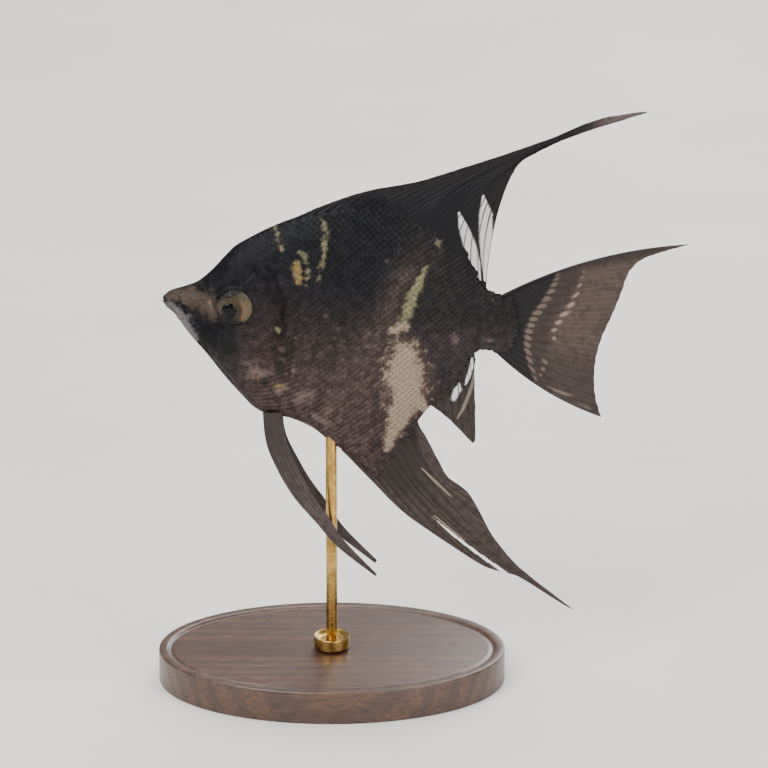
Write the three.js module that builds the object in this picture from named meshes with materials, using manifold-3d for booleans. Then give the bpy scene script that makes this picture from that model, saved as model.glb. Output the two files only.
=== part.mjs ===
// A freshwater angelfish of the marble kind, life size, as a still museum model on a display stand.
// Millimetres, +Z up. The origin is the centre of the underside of the stand's base, and the fish
// faces -X, so its left side faces -Y. The fish is drawn level in its own frame, where X runs from the
// snout to the tail, and one group gives it its nose-up attitude above the stand.
import * as THREE from "three";
import { mergeVertices } from "three/addons/utils/BufferGeometryUtils.js";
import Module from "manifold-3d";

const wasm = await Module();
wasm.setup();

// ---------------------------------------------------------------- driving dimensions
const STANDARD_LENGTH = 60; // snout tip to the end of the tail stalk
const NOSE_UP = THREE.MathUtils.degToRad(5);
const SNOUT_HEIGHT = 72; // snout tip above the table
const GAP = 0.3; // between two solids that meet

const BASE_LENGTH = 62;
const BASE_WIDTH = 42;
const BASE_HEIGHT = 6;
const BASE_CHAMFER = 1.2;
const ROD_RADIUS = 1;
const ROD_BITE = 3; // how far the rod goes into the base and into the belly
const COLLAR_RADIUS = 3.2;
const COLLAR_HEIGHT = 2.4;

// Every measure of the fish is in percent of its standard length, as fish are described.
const PERCENT = STANDARD_LENGTH / 100;

// ---------------------------------------------------------------- curves
// A smooth function through [x, y] points that does not overshoot them.
function profile(points) {
  const n = points.length;
  const slope = (i) => (points[i + 1][1] - points[i][1]) / (points[i + 1][0] - points[i][0]);
  const tangent = points.map((_, i) => {
    if (i === 0) return slope(0);
    if (i === n - 1) return slope(n - 2);
    const before = slope(i - 1);
    const after = slope(i);
    return before * after <= 0 ? 0 : (2 * before * after) / (before + after);
  });
  return (x) => {
    const at = points.findIndex((p) => p[0] >= x);
    const i = Math.max(0, (at < 0 ? n - 1 : at) - 1);
    const span = points[i + 1][0] - points[i][0];
    const t = THREE.MathUtils.clamp((x - points[i][0]) / span, 0, 1);
    const t2 = t * t;
    const t3 = t2 * t;
    return (
      (2 * t3 - 3 * t2 + 1) * points[i][1] +
      (t3 - 2 * t2 + t) * span * tangent[i] +
      (3 * t2 - 2 * t3) * points[i + 1][1] +
      (t3 - t2) * span * tangent[i + 1]
    );
  };
}

// A curve in the plane of the fish through [x, z] points, read by its share of the length.
function path(points) {
  const curve = new THREE.CatmullRomCurve3(
    points.map(([x, z]) => new THREE.Vector3(x, 0, z)),
    false,
    "centripetal",
  );
  curve.arcLengthDivisions = 400;
  return (share) => {
    const p = curve.getPointAt(THREE.MathUtils.clamp(share, 0, 1));
    return [p.x, p.z];
  };
}

// ---------------------------------------------------------------- the body's form
const back = profile([
  [0, 1.2], [2.5, 3], [5, 4.1], [9.8, 6.3], [13.4, 9.7], [17, 14.4], [20.1, 18.2], [23.7, 20.9],
  [28.3, 23.9], [33.9, 27], [40, 29.4], [47, 31.4], [56, 32.6], [66, 31.2], [75, 27.6], [83, 21.5],
  [90, 14.4], [95, 10.8], [100, 9.6],
]);
const belly = profile([
  [0, -1.2], [3.7, -4], [8.6, -9.9], [13.9, -15.4], [20.3, -22.6], [25.6, -27.9], [29.8, -31.6],
  [33, -33], [39, -33.6], [46.5, -36], [52.7, -40.2], [57.5, -43], [63.5, -45.2], [69.3, -44.6],
  [73.3, -40.2], [77.4, -31.8], [80.6, -26.6], [84.4, -21.6], [88.7, -14.8], [91.7, -9.2], [95, -7.5],
  [100, -7.9],
]);
const halfWidth = profile([
  [0, 1.2], [4, 2.9], [10, 5], [20, 7.4], [32, 8.6], [44, 8.8], [58, 7.9], [72, 5.7], [85, 3.8],
  [95, 2.7], [100, 2],
]);
const widestLevel = profile([
  [0, -0.2], [12, -1], [30, -3.5], [50, -6], [70, -3], [100, 1],
]);
const KEEL = 1.35; // above 1 the section narrows to a keel along the back and the belly

const BODY_RINGS = 30;
const RING_SIDES = 24;

// The point of the body's skin at a length along the fish and an angle around it, with the skin moved
// out by a number of millimetres.
function skinPoint(x, angle, grow = 0) {
  const side = Math.cos(angle);
  const rise = Math.sin(angle);
  const level = widestLevel(x) * PERCENT;
  const reach = rise > 0 ? back(x) * PERCENT - level + grow : level - belly(x) * PERCENT + grow;
  const width = halfWidth(x) * PERCENT + grow;
  return [x * PERCENT, Math.sign(side) * Math.abs(side) ** KEEL * width, level + reach * rise];
}

// Half the body's thickness at a place on the side of the fish, in percent.
function halfThickness(x, z) {
  const level = widestLevel(x);
  const reach = z > level ? back(x) - level : level - belly(x);
  const rise = THREE.MathUtils.clamp(Math.abs(z - level) / reach, 0, 1);
  return halfWidth(x) * (1 - rise * rise) ** (KEEL / 2);
}

// ---------------------------------------------------------------- solids
// A closed solid from points and triangles. It is turned right side out if it comes inside out.
function solid(points, triangles) {
  const make = (triVerts) =>
    new wasm.Manifold(
      new wasm.Mesh({ numProp: 3, vertProperties: new Float32Array(points.flat()), triVerts }),
    );
  const made = make(new Uint32Array(triangles.flat()));
  return made.volume() > 0 ? made : make(new Uint32Array(triangles.map(([a, b, c]) => [a, c, b]).flat()));
}

// A three.js geometry as a solid.
function solidOf(geometry) {
  const bare = new THREE.BufferGeometry();
  bare.setAttribute("position", geometry.getAttribute("position"));
  bare.setIndex(geometry.index);
  const merged = mergeVertices(bare, 1e-4);
  return new wasm.Manifold(
    new wasm.Mesh({
      numProp: 3,
      vertProperties: new Float32Array(merged.getAttribute("position").array),
      triVerts: new Uint32Array(merged.index.array),
    }),
  );
}

function geometryOf(made) {
  const mesh = made.getMesh();
  const geometry = new THREE.BufferGeometry();
  geometry.setAttribute("position", new THREE.BufferAttribute(new Float32Array(mesh.vertProperties), 3));
  geometry.setIndex(new THREE.BufferAttribute(new Uint32Array(mesh.triVerts), 1));
  geometry.computeVertexNormals();
  return geometry;
}

// The whole body as one solid, from the lips to the end of the tail stalk.
function bodySolid(grow = 0) {
  const points = [];
  const triangles = [];
  for (let i = 0; i <= BODY_RINGS; i++) {
    const x = 100 * (i / BODY_RINGS) ** 1.25;
    for (let j = 0; j < RING_SIDES; j++) {
      const point = skinPoint(x, (2 * Math.PI * j) / RING_SIDES, grow);
      if (i === 0) point[0] -= grow;
      if (i === BODY_RINGS) point[0] += grow;
      points.push(point);
    }
  }
  const at = (i, j) => i * RING_SIDES + (j % RING_SIDES);
  for (let i = 0; i < BODY_RINGS; i++) {
    for (let j = 0; j < RING_SIDES; j++) {
      triangles.push([at(i, j), at(i + 1, j), at(i + 1, j + 1)], [at(i, j), at(i + 1, j + 1), at(i, j + 1)]);
    }
  }
  for (const [ring, turned] of [[0, false], [BODY_RINGS, true]]) {
    const centre = points.length;
    points.push([points[at(ring, 0)][0], 0, widestLevel(ring ? 100 : 0) * PERCENT]);
    for (let j = 0; j < RING_SIDES; j++) {
      const edge = turned ? [at(ring, j + 1), at(ring, j)] : [at(ring, j), at(ring, j + 1)];
      triangles.push([centre, edge[0], edge[1]]);
    }
  }
  return solid(points, triangles);
}

// A flat prism across the fish: an outline in the plane of the fish, in percent, pulled sideways.
function prism(outline, from = -20, to = 20) {
  const shape = new THREE.Shape(outline.map(([x, z]) => new THREE.Vector2(x * PERCENT, z * PERCENT)));
  const geometry = new THREE.ExtrudeGeometry(shape, { depth: to - from, bevelEnabled: false });
  geometry.rotateX(Math.PI / 2);
  geometry.translate(0, to, 0);
  return solidOf(geometry);
}

// A thin wall across the fish that follows a line in its plane. It parts two solids by GAP.
function partingWall(line, steps = 14) {
  const half = GAP / PERCENT / 2;
  const sides = [[], []];
  for (let i = 0; i <= steps; i++) {
    const [x, z] = line(i / steps);
    const [x0, z0] = line(Math.max(0, i / steps - 0.01));
    const [x1, z1] = line(Math.min(1, i / steps + 0.01));
    const length = Math.hypot(x1 - x0, z1 - z0);
    const across = [(-(z1 - z0) / length) * half, ((x1 - x0) / length) * half];
    sides[0].push([x + across[0], z + across[1]]);
    sides[1].unshift([x - across[0], z - across[1]]);
  }
  return prism([...sides[0], ...sides[1]]);
}

// A fin as a thin closed slab. place(s, t) gives [x, z] in percent for s across the fin and t from its
// root to its free edge; lean(s, t) and thickness(s, t) give millimetres across the fish.
function finSolid({ place, lean, thickness, columns, rows }) {
  const points = [];
  const triangles = [];
  for (const side of [-1, 1]) {
    for (let i = 0; i <= columns; i++) {
      for (let j = 0; j <= rows; j++) {
        const s = i / columns;
        const t = j / rows;
        const [x, z] = place(s, t);
        points.push([x * PERCENT, lean(s, t) + (side * thickness(s, t)) / 2, z * PERCENT]);
      }
    }
  }
  const at = (face, i, j) => (face * (columns + 1) + i) * (rows + 1) + j;
  const quad = (a, b, c, d) => triangles.push([a, b, c], [a, c, d]);
  for (let i = 0; i < columns; i++) {
    for (let j = 0; j < rows; j++) {
      quad(at(0, i, j), at(0, i + 1, j), at(0, i + 1, j + 1), at(0, i, j + 1));
      quad(at(1, i, j), at(1, i, j + 1), at(1, i + 1, j + 1), at(1, i + 1, j));
    }
    quad(at(0, i, 0), at(1, i, 0), at(1, i + 1, 0), at(0, i + 1, 0));
    quad(at(0, i, rows), at(0, i + 1, rows), at(1, i + 1, rows), at(1, i, rows));
  }
  for (let j = 0; j < rows; j++) {
    quad(at(0, 0, j), at(0, 0, j + 1), at(1, 0, j + 1), at(1, 0, j));
    quad(at(0, columns, j), at(1, columns, j), at(1, columns, j + 1), at(0, columns, j + 1));
  }
  return solid(points, triangles);
}

// A fin cut from one sheet of skin. Its outline follows the leading edge to the tip, comes back along
// the trailing edge and closes along the root, which root(share) gives from front to rear. lean(share)
// carries the free edge sideways, in millimetres.
function sheetFin({ root, leading, trailing, lean }) {
  const front = path(leading);
  const rear = path(trailing);
  const steps = 30;
  const rim = [];
  for (let i = 0; i <= steps; i++) {
    rim.push({ at: front(i / steps), lean: lean((0.5 * i) / steps), thickness: FIN_EDGE });
  }
  for (let i = 0; i <= steps; i++) {
    rim.push({ at: rear(i / steps), lean: lean(0.5 + (0.5 * i) / steps), thickness: FIN_EDGE });
  }
  for (let i = steps; i >= 0; i -= 2) {
    rim.push({ at: root(i / steps), lean: 0, thickness: FIN_ROOT });
  }
  const outline = rim.map(({ at }) => new THREE.Vector2(at[0] * PERCENT, at[1] * PERCENT));
  const faces = THREE.ShapeUtils.triangulateShape(outline, []);
  const points = [];
  for (const side of [-1, 1]) {
    rim.forEach((point, i) => {
      points.push([outline[i].x, point.lean + (side * point.thickness) / 2, outline[i].y]);
    });
  }
  const n = rim.length;
  const triangles = [];
  for (const [a, b, c] of faces) {
    triangles.push([a, b, c], [n + a, n + c, n + b]);
  }
  const turned = THREE.ShapeUtils.isClockWise(outline);
  for (let i = 0; i < n; i++) {
    const next = (i + 1) % n;
    const ends = turned ? [next, i] : [i, next];
    triangles.push([ends[0], n + ends[0], n + ends[1]], [ends[0], n + ends[1], ends[1]]);
  }
  return solid(points, triangles);
}

// ---------------------------------------------------------------- fins
const ROOT_DEPTH = 1.6; // how far a fin's root line lies inside the body, in percent
const FIN_EDGE = 0.55; // thickness of a fin's free edge, in millimetres
const FIN_ROOT = 1.3;

const taper = (s, t) => FIN_EDGE + (FIN_ROOT - FIN_EDGE) * (1 - t) ** 1.5;

function dorsalFin() {
  const from = 34;
  const to = 94;
  return sheetFin({
    root: (share) => {
      const x = from + (to - from) * share;
      return [x, back(x) - ROOT_DEPTH];
    },
    leading: [
      [35.5, 27.6], [40.2, 30.1], [46.5, 33.4], [52, 36.2], [61.2, 39.5], [70.4, 42], [79.3, 45.8],
      [91.4, 50.7], [101.6, 55.3], [109.8, 59.3], [117, 63.5], [121.4, 65.5], [128, 67.7], [135.3, 69.4],
    ],
    trailing: [
      [135.3, 68.4], [128, 66], [122.8, 63.9], [115.5, 60.4], [111.7, 58.4], [106.5, 55.2], [102.2, 52.6],
      [99.2, 49.7], [95.9, 42.6], [95, 34.8], [94.4, 23.6], [94.2, 12.5],
    ],
    lean: (share) => -0.3 * Math.sin(Math.PI * share),
  });
}

// The anal fin has a long front lobe and a short rear one, with a notch between them.
function analFin() {
  const from = 57.5;
  const to = 92.5;
  return sheetFin({
    root: (share) => {
      const x = from + (to - from) * share;
      return [x - ROOT_DEPTH * 0.5, belly(x) + ROOT_DEPTH];
    },
    leading: [
      [57.8, -44.6], [62.2, -47.3], [69.4, -54.2], [75.5, -60], [85.8, -66.4], [93.7, -71], [101.9, -75.8],
      [107, -76.9], [112.6, -78.6], [120.1, -82.3], [129.3, -87.6],
    ],
    trailing: [
      [129.3, -87], [120, -80.9], [113.3, -76.8], [103.7, -66.5], [98.5, -58.8], [95.3, -53.6], [88.8, -49.1],
      [84.6, -42.9], [81, -37.1], [78.5, -33.8], [77.6, -31.2], [79, -28.4], [80.6, -26.2], [83.4, -27.6],
      [87.2, -30.4], [90.9, -33.6], [94.9, -36.9], [94.6, -29.7], [93.3, -22], [92.6, -10],
    ],
    lean: (share) => 0.7 * Math.sin(Math.PI * share),
  });
}

function caudalFin() {
  const top = 9.4;
  const bottom = -7.8;
  const tips = path([
    [151.2, 29.4], [144, 26.6], [138.3, 23.7], [135, 19.5], [133.4, 13], [131.6, 6.5], [129.2, -1],
    [128.1, -8], [128.3, -15], [129.4, -20.5], [131.5, -25.9],
  ]);
  const rootShare = profile([[0, 0], [0.22, 0.08], [0.5, 0.4], [0.85, 0.84], [1, 1]]);
  const bow = profile([[0, 0.117], [0.22, 0.09], [0.5, 0.02], [0.8, -0.05], [1, -0.11]]);
  const place = (s, t) => {
    const from = [98.8, top + (bottom - top) * rootShare(s)];
    const to = tips(s);
    const bend = 2 * bow(s) * t * (1 - t);
    return [
      from[0] + (to[0] - from[0]) * t - (to[1] - from[1]) * bend,
      from[1] + (to[1] - from[1]) * t + (to[0] - from[0]) * bend,
    ];
  };
  return finSolid({
    place,
    lean: (s, t) => 0.8 * t * t,
    thickness: (s, t) => FIN_EDGE + 1.2 * (1 - t) ** 2,
    columns: 24,
    rows: 5,
  });
}

// One of the two long feelers under the chest; side is -1 for the left and 1 for the right.
function pelvicFin(side) {
  const middle = path([
    [35, -31.6], [36.2, -38.5], [38.5, -44.3], [44.8, -54.4], [51.8, -62.4], [58.4, -70], [69.6, -79],
  ]);
  const width = profile([[0, 5.6], [0.3, 5.6], [0.5, 4.8], [0.7, 3.2], [0.85, 2], [1, 0.9]]);
  const place = (s, t) => {
    const [x, z] = middle(t);
    const [x0, z0] = middle(Math.max(0, t - 0.02));
    const [x1, z1] = middle(Math.min(1, t + 0.02));
    const length = Math.hypot(x1 - x0, z1 - z0);
    const off = (s - 0.5) * width(t);
    return [x - ((z1 - z0) / length) * off, z + ((x1 - x0) / length) * off];
  };
  const spread = profile([[0, 1.4], [0.3, 2.3], [0.6, 2.9], [1, 3.2]]);
  return finSolid({
    place,
    lean: (s, t) => side * (spread(t) + 0.5 * (s - 0.5)),
    thickness: (s, t) => FIN_EDGE + 0.5 * (1 - t),
    columns: 4,
    rows: 18,
  });
}

// The clear paddle behind the gill cover; side is -1 for the left and 1 for the right.
function pectoralFin(side) {
  const tips = path([[47, 2.5], [57, 2], [62, -3], [61.5, -9], [56, -15.5], [48, -18.5], [42.5, -16]]);
  const place = (s, t) => {
    const from = [37.6, -5.4 - 5.8 * s];
    const to = tips(s);
    return [from[0] + (to[0] - from[0]) * t, from[1] + (to[1] - from[1]) * t];
  };
  const surface = halfThickness(38, -8) * PERCENT;
  return finSolid({
    place,
    lean: (s, t) => side * (surface - 0.1 + 5 * t - 0.8 * t * t),
    thickness: (s, t) => FIN_EDGE + 0.45 * (1 - t),
    columns: 9,
    rows: 5,
  });
}

// ---------------------------------------------------------------- head
const EYE = { x: 20.8, z: 0.9, radius: 3.3, depth: 2, bulge: 0.7 }; // radius, depth and bulge in mm

function eyeSolid(side, grow = 0) {
  const geometry = new THREE.SphereGeometry(1, 18, 10);
  geometry.scale(EYE.radius + grow, EYE.depth + grow, EYE.radius + grow);
  const out = halfThickness(EYE.x, EYE.z) * PERCENT + EYE.bulge - EYE.depth;
  geometry.translate(EYE.x * PERCENT, side * out, EYE.z * PERCENT);
  return solidOf(geometry);
}

const gillSlit = path([[22, 24], [29.5, 14], [34.2, 5], [35.4, -4], [33.2, -13], [28, -21], [20, -28]]);
const mouthLine = path([[-4, 0.4], [1, -0.6], [4.6, -3.2], [6.4, -6], [6.9, -12]]);
const gillCoverFront = path([[30.5, 11.5], [27.6, 6], [27, 1], [25.6, -6], [25.6, -12], [28.6, -17.6]]);
const COVER_THICKNESS = 1.3; // millimetres

// An outline with every corner moved out by a number of millimetres.
function outset(outline, by) {
  const turn = Math.sign(THREE.ShapeUtils.area(outline.map(([x, z]) => new THREE.Vector2(x, z))));
  return outline.map(([x, z], i) => {
    const [x0, z0] = outline[(i + outline.length - 1) % outline.length];
    const [x1, z1] = outline[(i + 1) % outline.length];
    const before = new THREE.Vector2(z - z0, x0 - x).normalize();
    const after = new THREE.Vector2(z1 - z, x - x1).normalize();
    const out = before.add(after).normalize();
    const stretch = (turn * by) / PERCENT / Math.max(0.5, out.dot(after));
    return [x + out.x * stretch, z + out.y * stretch];
  });
}

// The outline of a gill cover, from its front edge to the gill slit.
function coverOutline() {
  const steps = 12;
  const outline = [];
  for (let i = 0; i <= steps; i++) {
    outline.push(gillCoverFront(i / steps));
  }
  for (let i = steps; i >= 0; i--) {
    outline.push(gillSlit(0.22 + (0.5 * i) / steps));
  }
  return outline;
}

function headParts(head) {
  const coverShell = (side, grow) => {
    const cut = outset(coverOutline(), grow);
    const slab = side < 0 ? prism(cut, -20, -0.5) : prism(cut, 0.5, 20);
    return slab.subtract(bodySolid(-COVER_THICKNESS - grow));
  };
  const parts = {};
  for (const [name, side] of [["left", -1], ["right", 1]]) {
    parts["gill_cover_" + name] = head.intersect(coverShell(side, 0));
    parts["eye_" + name] = eyeSolid(side);
  }
  for (const side of [-1, 1]) {
    head = head.subtract(coverShell(side, GAP)).subtract(eyeSolid(side, GAP));
  }
  const pieces = head.subtract(partingWall(mouthLine)).decompose();
  pieces.sort((a, b) => b.volume() - a.volume());
  parts.head = pieces[0];
  parts.lower_jaw = pieces[1];
  return parts;
}

// ---------------------------------------------------------------- the fish
const stalkLine = path([[88, 22], [87.4, 8], [87.4, -6], [88, -20]]);

function fishParts(rodHole) {
  const byX = (a, b) => a.boundingBox().min[0] - b.boundingBox().min[0];
  const body = bodySolid();
  const [head, rest] = body.subtract(partingWall(gillSlit)).decompose().sort(byX);
  const [trunk, stalk] = rest.subtract(partingWall(stalkLine)).decompose().sort(byX);
  const grown = bodySolid(GAP);
  const parts = { ...headParts(head), trunk: trunk.subtract(rodHole), tail_stalk: stalk };
  const fins = {
    dorsal_fin: dorsalFin(),
    anal_fin: analFin(),
    tail_fin: caudalFin(),
    pelvic_fin_left: pelvicFin(-1),
    pelvic_fin_right: pelvicFin(1),
    pectoral_fin_left: pectoralFin(-1),
    pectoral_fin_right: pectoralFin(1),
  };
  for (const [name, fin] of Object.entries(fins)) {
    const outside = fin.subtract(grown).decompose();
    outside.sort((a, b) => b.volume() - a.volume());
    parts[name] = outside[0];
  }
  return parts;
}

// ---------------------------------------------------------------- the stand
const ROD_X = 53; // where the rod meets the belly, in percent along the fish

function baseSolid() {
  const profilePoints = [
    [0, 0], [1, 0], [1, BASE_HEIGHT - BASE_CHAMFER], [1 - 0.04, BASE_HEIGHT], [0, BASE_HEIGHT],
  ].map(([r, z]) => new THREE.Vector2(r, z));
  const geometry = new THREE.LatheGeometry(profilePoints, 36);
  geometry.rotateX(Math.PI / 2);
  geometry.scale(BASE_LENGTH / 2, BASE_WIDTH / 2, 1);
  const hole = rodSolid(BASE_HEIGHT - ROD_BITE - GAP, BASE_HEIGHT + 1, GAP);
  return solidOf(geometry).subtract(hole);
}

function rodSolid(from, to, grow = 0) {
  const geometry = new THREE.CylinderGeometry(ROD_RADIUS + grow, ROD_RADIUS + grow, to - from, 20);
  geometry.rotateX(Math.PI / 2);
  geometry.translate(0, 0, (from + to) / 2);
  return solidOf(geometry);
}

function collarSolid() {
  const inner = ROD_RADIUS + GAP;
  const low = BASE_HEIGHT + 0.05;
  const points = [
    [inner, low], [COLLAR_RADIUS, low], [COLLAR_RADIUS, low + COLLAR_HEIGHT * 0.5],
    [COLLAR_RADIUS * 0.72, low + COLLAR_HEIGHT], [inner, low + COLLAR_HEIGHT], [inner, low],
  ].map(([r, z]) => new THREE.Vector2(r, z));
  const geometry = new THREE.LatheGeometry(points, 24);
  geometry.rotateX(Math.PI / 2);
  return solidOf(geometry);
}

// ---------------------------------------------------------------- materials
const paint = (name, color, roughness, metalness = 0) =>
  new THREE.MeshStandardMaterial({ name, color, roughness, metalness });
const SKIN = paint("skin", 0x2c2b2c, 0.42);
const FIN = paint("fin", 0x3b352f, 0.5);
const CLEAR_FIN = paint("clear_fin", 0xb9b0a2, 0.4);
const EYE_FINISH = paint("eye", 0x9a7a3c, 0.15);
const WOOD = paint("stand_wood", 0x2e2018, 0.45);
const BRASS = paint("stand_brass", 0xb59a5a, 0.3, 1);

const finishOf = (name) => {
  if (name.startsWith("eye")) return EYE_FINISH;
  if (name.startsWith("pectoral")) return CLEAR_FIN;
  if (name.includes("fin")) return FIN;
  return SKIN;
};

// ---------------------------------------------------------------- assembly
const angelfish = new THREE.Group();
const fish = new THREE.Group();
fish.rotation.y = NOSE_UP;
// The rod stands at the origin, so the fish is moved along until its belly's rod point is above it.
const rodPoint = new THREE.Vector3(ROD_X * PERCENT, 0, belly(ROD_X) * PERCENT).applyEuler(fish.rotation);
fish.position.set(-rodPoint.x, 0, SNOUT_HEIGHT);
fish.updateMatrix();
angelfish.add(fish);

const rodTop = SNOUT_HEIGHT + rodPoint.z + ROD_BITE;
const intoFish = fish.matrix.clone().invert();
const rodHole = rodSolid(rodTop - ROD_BITE * 3, rodTop + GAP, GAP).transform(intoFish.toArray());

for (const [name, made] of Object.entries(fishParts(rodHole))) {
  const mesh = new THREE.Mesh(geometryOf(made), finishOf(name));
  mesh.name = name;
  fish.add(mesh);
}

const stand = {
  stand_base: [baseSolid(), WOOD],
  stand_rod: [rodSolid(BASE_HEIGHT - ROD_BITE, rodTop), BRASS],
  stand_collar: [collarSolid(), BRASS],
};
for (const [name, [made, finish]] of Object.entries(stand)) {
  const mesh = new THREE.Mesh(geometryOf(made), finish);
  mesh.name = name;
  angelfish.add(mesh);
}

export default angelfish;
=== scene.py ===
# %% [markdown]
# A freshwater angelfish of the marble kind, as a still museum model on a turned stand. The packed
# solids give every size and place. They are loaded first, and the skin, scales, fins, eyes and stand
# are then modelled over them, in metres, in the same frame.
# %% Load the solids
import math

import bpy
import numpy as np
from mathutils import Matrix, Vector

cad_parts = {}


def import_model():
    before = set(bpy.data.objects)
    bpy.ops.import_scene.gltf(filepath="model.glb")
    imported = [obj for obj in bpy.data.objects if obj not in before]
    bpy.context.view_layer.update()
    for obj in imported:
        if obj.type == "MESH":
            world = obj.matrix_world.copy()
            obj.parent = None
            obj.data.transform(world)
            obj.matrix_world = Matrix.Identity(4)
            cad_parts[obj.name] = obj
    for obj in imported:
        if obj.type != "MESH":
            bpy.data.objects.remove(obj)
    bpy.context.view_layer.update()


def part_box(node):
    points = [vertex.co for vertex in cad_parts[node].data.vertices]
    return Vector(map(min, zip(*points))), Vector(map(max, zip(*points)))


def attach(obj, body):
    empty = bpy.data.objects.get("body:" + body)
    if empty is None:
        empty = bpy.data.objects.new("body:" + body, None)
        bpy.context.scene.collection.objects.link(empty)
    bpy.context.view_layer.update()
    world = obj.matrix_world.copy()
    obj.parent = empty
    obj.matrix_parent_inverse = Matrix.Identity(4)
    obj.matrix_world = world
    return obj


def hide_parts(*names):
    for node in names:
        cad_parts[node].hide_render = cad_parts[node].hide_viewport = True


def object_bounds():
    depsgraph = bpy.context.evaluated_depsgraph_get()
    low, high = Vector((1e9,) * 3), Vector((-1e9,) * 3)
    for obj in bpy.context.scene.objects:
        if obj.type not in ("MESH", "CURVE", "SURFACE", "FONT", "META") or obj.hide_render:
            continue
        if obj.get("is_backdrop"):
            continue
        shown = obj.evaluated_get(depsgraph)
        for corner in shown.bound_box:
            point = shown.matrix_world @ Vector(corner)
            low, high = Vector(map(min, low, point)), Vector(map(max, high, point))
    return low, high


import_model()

# %% [markdown]
# A fish is described in percent of its standard length, from the snout to the end of the tail stalk:
# x runs along it and z up, level, and one turn then lifts the nose. Working in those numbers keeps
# each feature's place easy to name. The left eye's solid says where the fish is in the frame.
# %% The fish's own measure
STANDARD_LENGTH = 0.060
PERCENT = STANDARD_LENGTH / 100
NOSE_UP = math.radians(5)
MM = 0.001
EYE_X, EYE_Z = 20.8, 0.9  # the middle of the solid eye
SIDES = (("left", -1), ("right", 1))
along = np.array([math.cos(NOSE_UP), 0, -math.sin(NOSE_UP)])
upward = np.array([math.sin(NOSE_UP), 0, math.cos(NOSE_UP)])
eye_low, eye_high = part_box("eye_left")
eye_centre = np.array((eye_low + eye_high) / 2) * (1, 0, 1)
snout = eye_centre - PERCENT * (EYE_X * along + EYE_Z * upward)


def world(x, z, y):
    """Frame points in metres for x and z in percent and y, across the fish, in metres."""
    x, z, y = np.broadcast_arrays(x, z, y)
    place = snout + PERCENT * (x[..., None] * along + z[..., None] * upward)
    place[..., 1] = y
    return place


print("snout at", np.round(1000 * snout, 2), "mm")

# %% [markdown]
# Outlines are smooth functions through a few named measures. `profile` never overshoots its points,
# and `path` is a curve read by its share of the length.
# %% Smooth measures


def profile(points):
    xs, ys = np.array(points, float).T
    slope = np.diff(ys) / np.diff(xs)
    a, b = slope[:-1], slope[1:]
    total = np.where(a + b == 0, 1, a + b)
    tangent = np.r_[slope[0], np.where(a * b <= 0, 0, 2 * a * b / total), slope[-1]]

    def value_at(x):
        x = np.clip(np.asarray(x, float), xs[0], xs[-1])
        i = np.clip(np.searchsorted(xs, x, side="right") - 1, 0, len(xs) - 2)
        span = xs[i + 1] - xs[i]
        u = (x - xs[i]) / span
        return (
            (2 * u**3 - 3 * u**2 + 1) * ys[i] + (u**3 - 2 * u**2 + u) * span * tangent[i]
            + (3 * u**2 - 2 * u**3) * ys[i + 1] + (u**3 - u**2) * span * tangent[i + 1]
        )

    return value_at


def spread(keys, s):
    """Rows of a table read smoothly at shares s of it (a Catmull-Rom curve through the rows)."""
    keys = np.array(keys, float)
    rows = np.vstack([2 * keys[0] - keys[1], keys, 2 * keys[-1] - keys[-2]])
    at = np.clip(np.asarray(s, float), 0, 1) * (len(keys) - 1)
    i = np.clip(at.astype(int), 0, len(keys) - 2)
    u = (at - i)[..., None]
    p0, p1, p2, p3 = rows[i], rows[i + 1], rows[i + 2], rows[i + 3]
    return p1 + 0.5 * u * (p2 - p0 + u * (2 * p0 - 5 * p1 + 4 * p2 - p3 + u * (3 * (p1 - p2) + p3 - p0)))


def path(points):
    line = spread(points, np.linspace(0, 1, 60 * (len(points) - 1) + 1))
    share = np.r_[0, np.cumsum(np.linalg.norm(np.diff(line, axis=0), axis=1))]
    share /= share[-1]
    return lambda s: np.stack([np.interp(s, share, line[:, k]) for k in range(line.shape[1])], -1)


def smooth(edge0, edge1, value):
    u = np.clip((value - edge0) / (edge1 - edge0), 0, 1)
    return u * u * (3 - 2 * u)


def bump(value, centre, width):
    return np.exp(-(((value - centre) / width) ** 2))


def distance(points, line):
    """Distance of points from a drawn line, and the line's last columns read at the nearest place."""
    line = np.array(line, float)
    best = np.full(points.shape[:-1], 1e9)
    extra = np.zeros(points.shape[:-1] + (line.shape[1] - 2,))
    for a, b in zip(line[:-1], line[1:]):
        leg = b[:2] - a[:2]
        t = np.clip(((points - a[:2]) @ leg) / max(leg @ leg, 1e-9), 0, 1)
        gap = np.linalg.norm(points - a[:2] - t[..., None] * leg, axis=-1)
        nearer = gap < best
        best = np.where(nearer, gap, best)
        extra[nearer] = (a[2:] + t[..., None] * (b[2:] - a[2:]))[nearer]
    return best, extra


# %% [markdown]
# The body is a deep, thin disc. These are its side and top outlines, the level of its widest part and
# the keel that its section draws in to above and below, as in the solids.
# %% The body's form
back = profile([
    [0, 1.2], [2.5, 3], [5, 4.1], [9.8, 6.3], [13.4, 9.7], [17, 14.4], [20.1, 18.2], [23.7, 20.9],
    [28.3, 23.9], [33.9, 27], [40, 29.4], [47, 31.4], [56, 32.6], [66, 31.2], [75, 27.6], [83, 21.5],
    [90, 14.4], [95, 10.8], [100, 9.6]])
belly = profile([
    [0, -1.2], [3.7, -4], [8.6, -9.9], [13.9, -15.4], [20.3, -22.6], [25.6, -27.9], [29.8, -31.6],
    [33, -33], [39, -33.6], [46.5, -36], [52.7, -40.2], [57.5, -43], [63.5, -45.2], [69.3, -44.6],
    [73.3, -40.2], [77.4, -31.8], [80.6, -26.6], [84.4, -21.6], [88.7, -14.8], [91.7, -9.2], [95, -7.5],
    [100, -7.9]])
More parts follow.
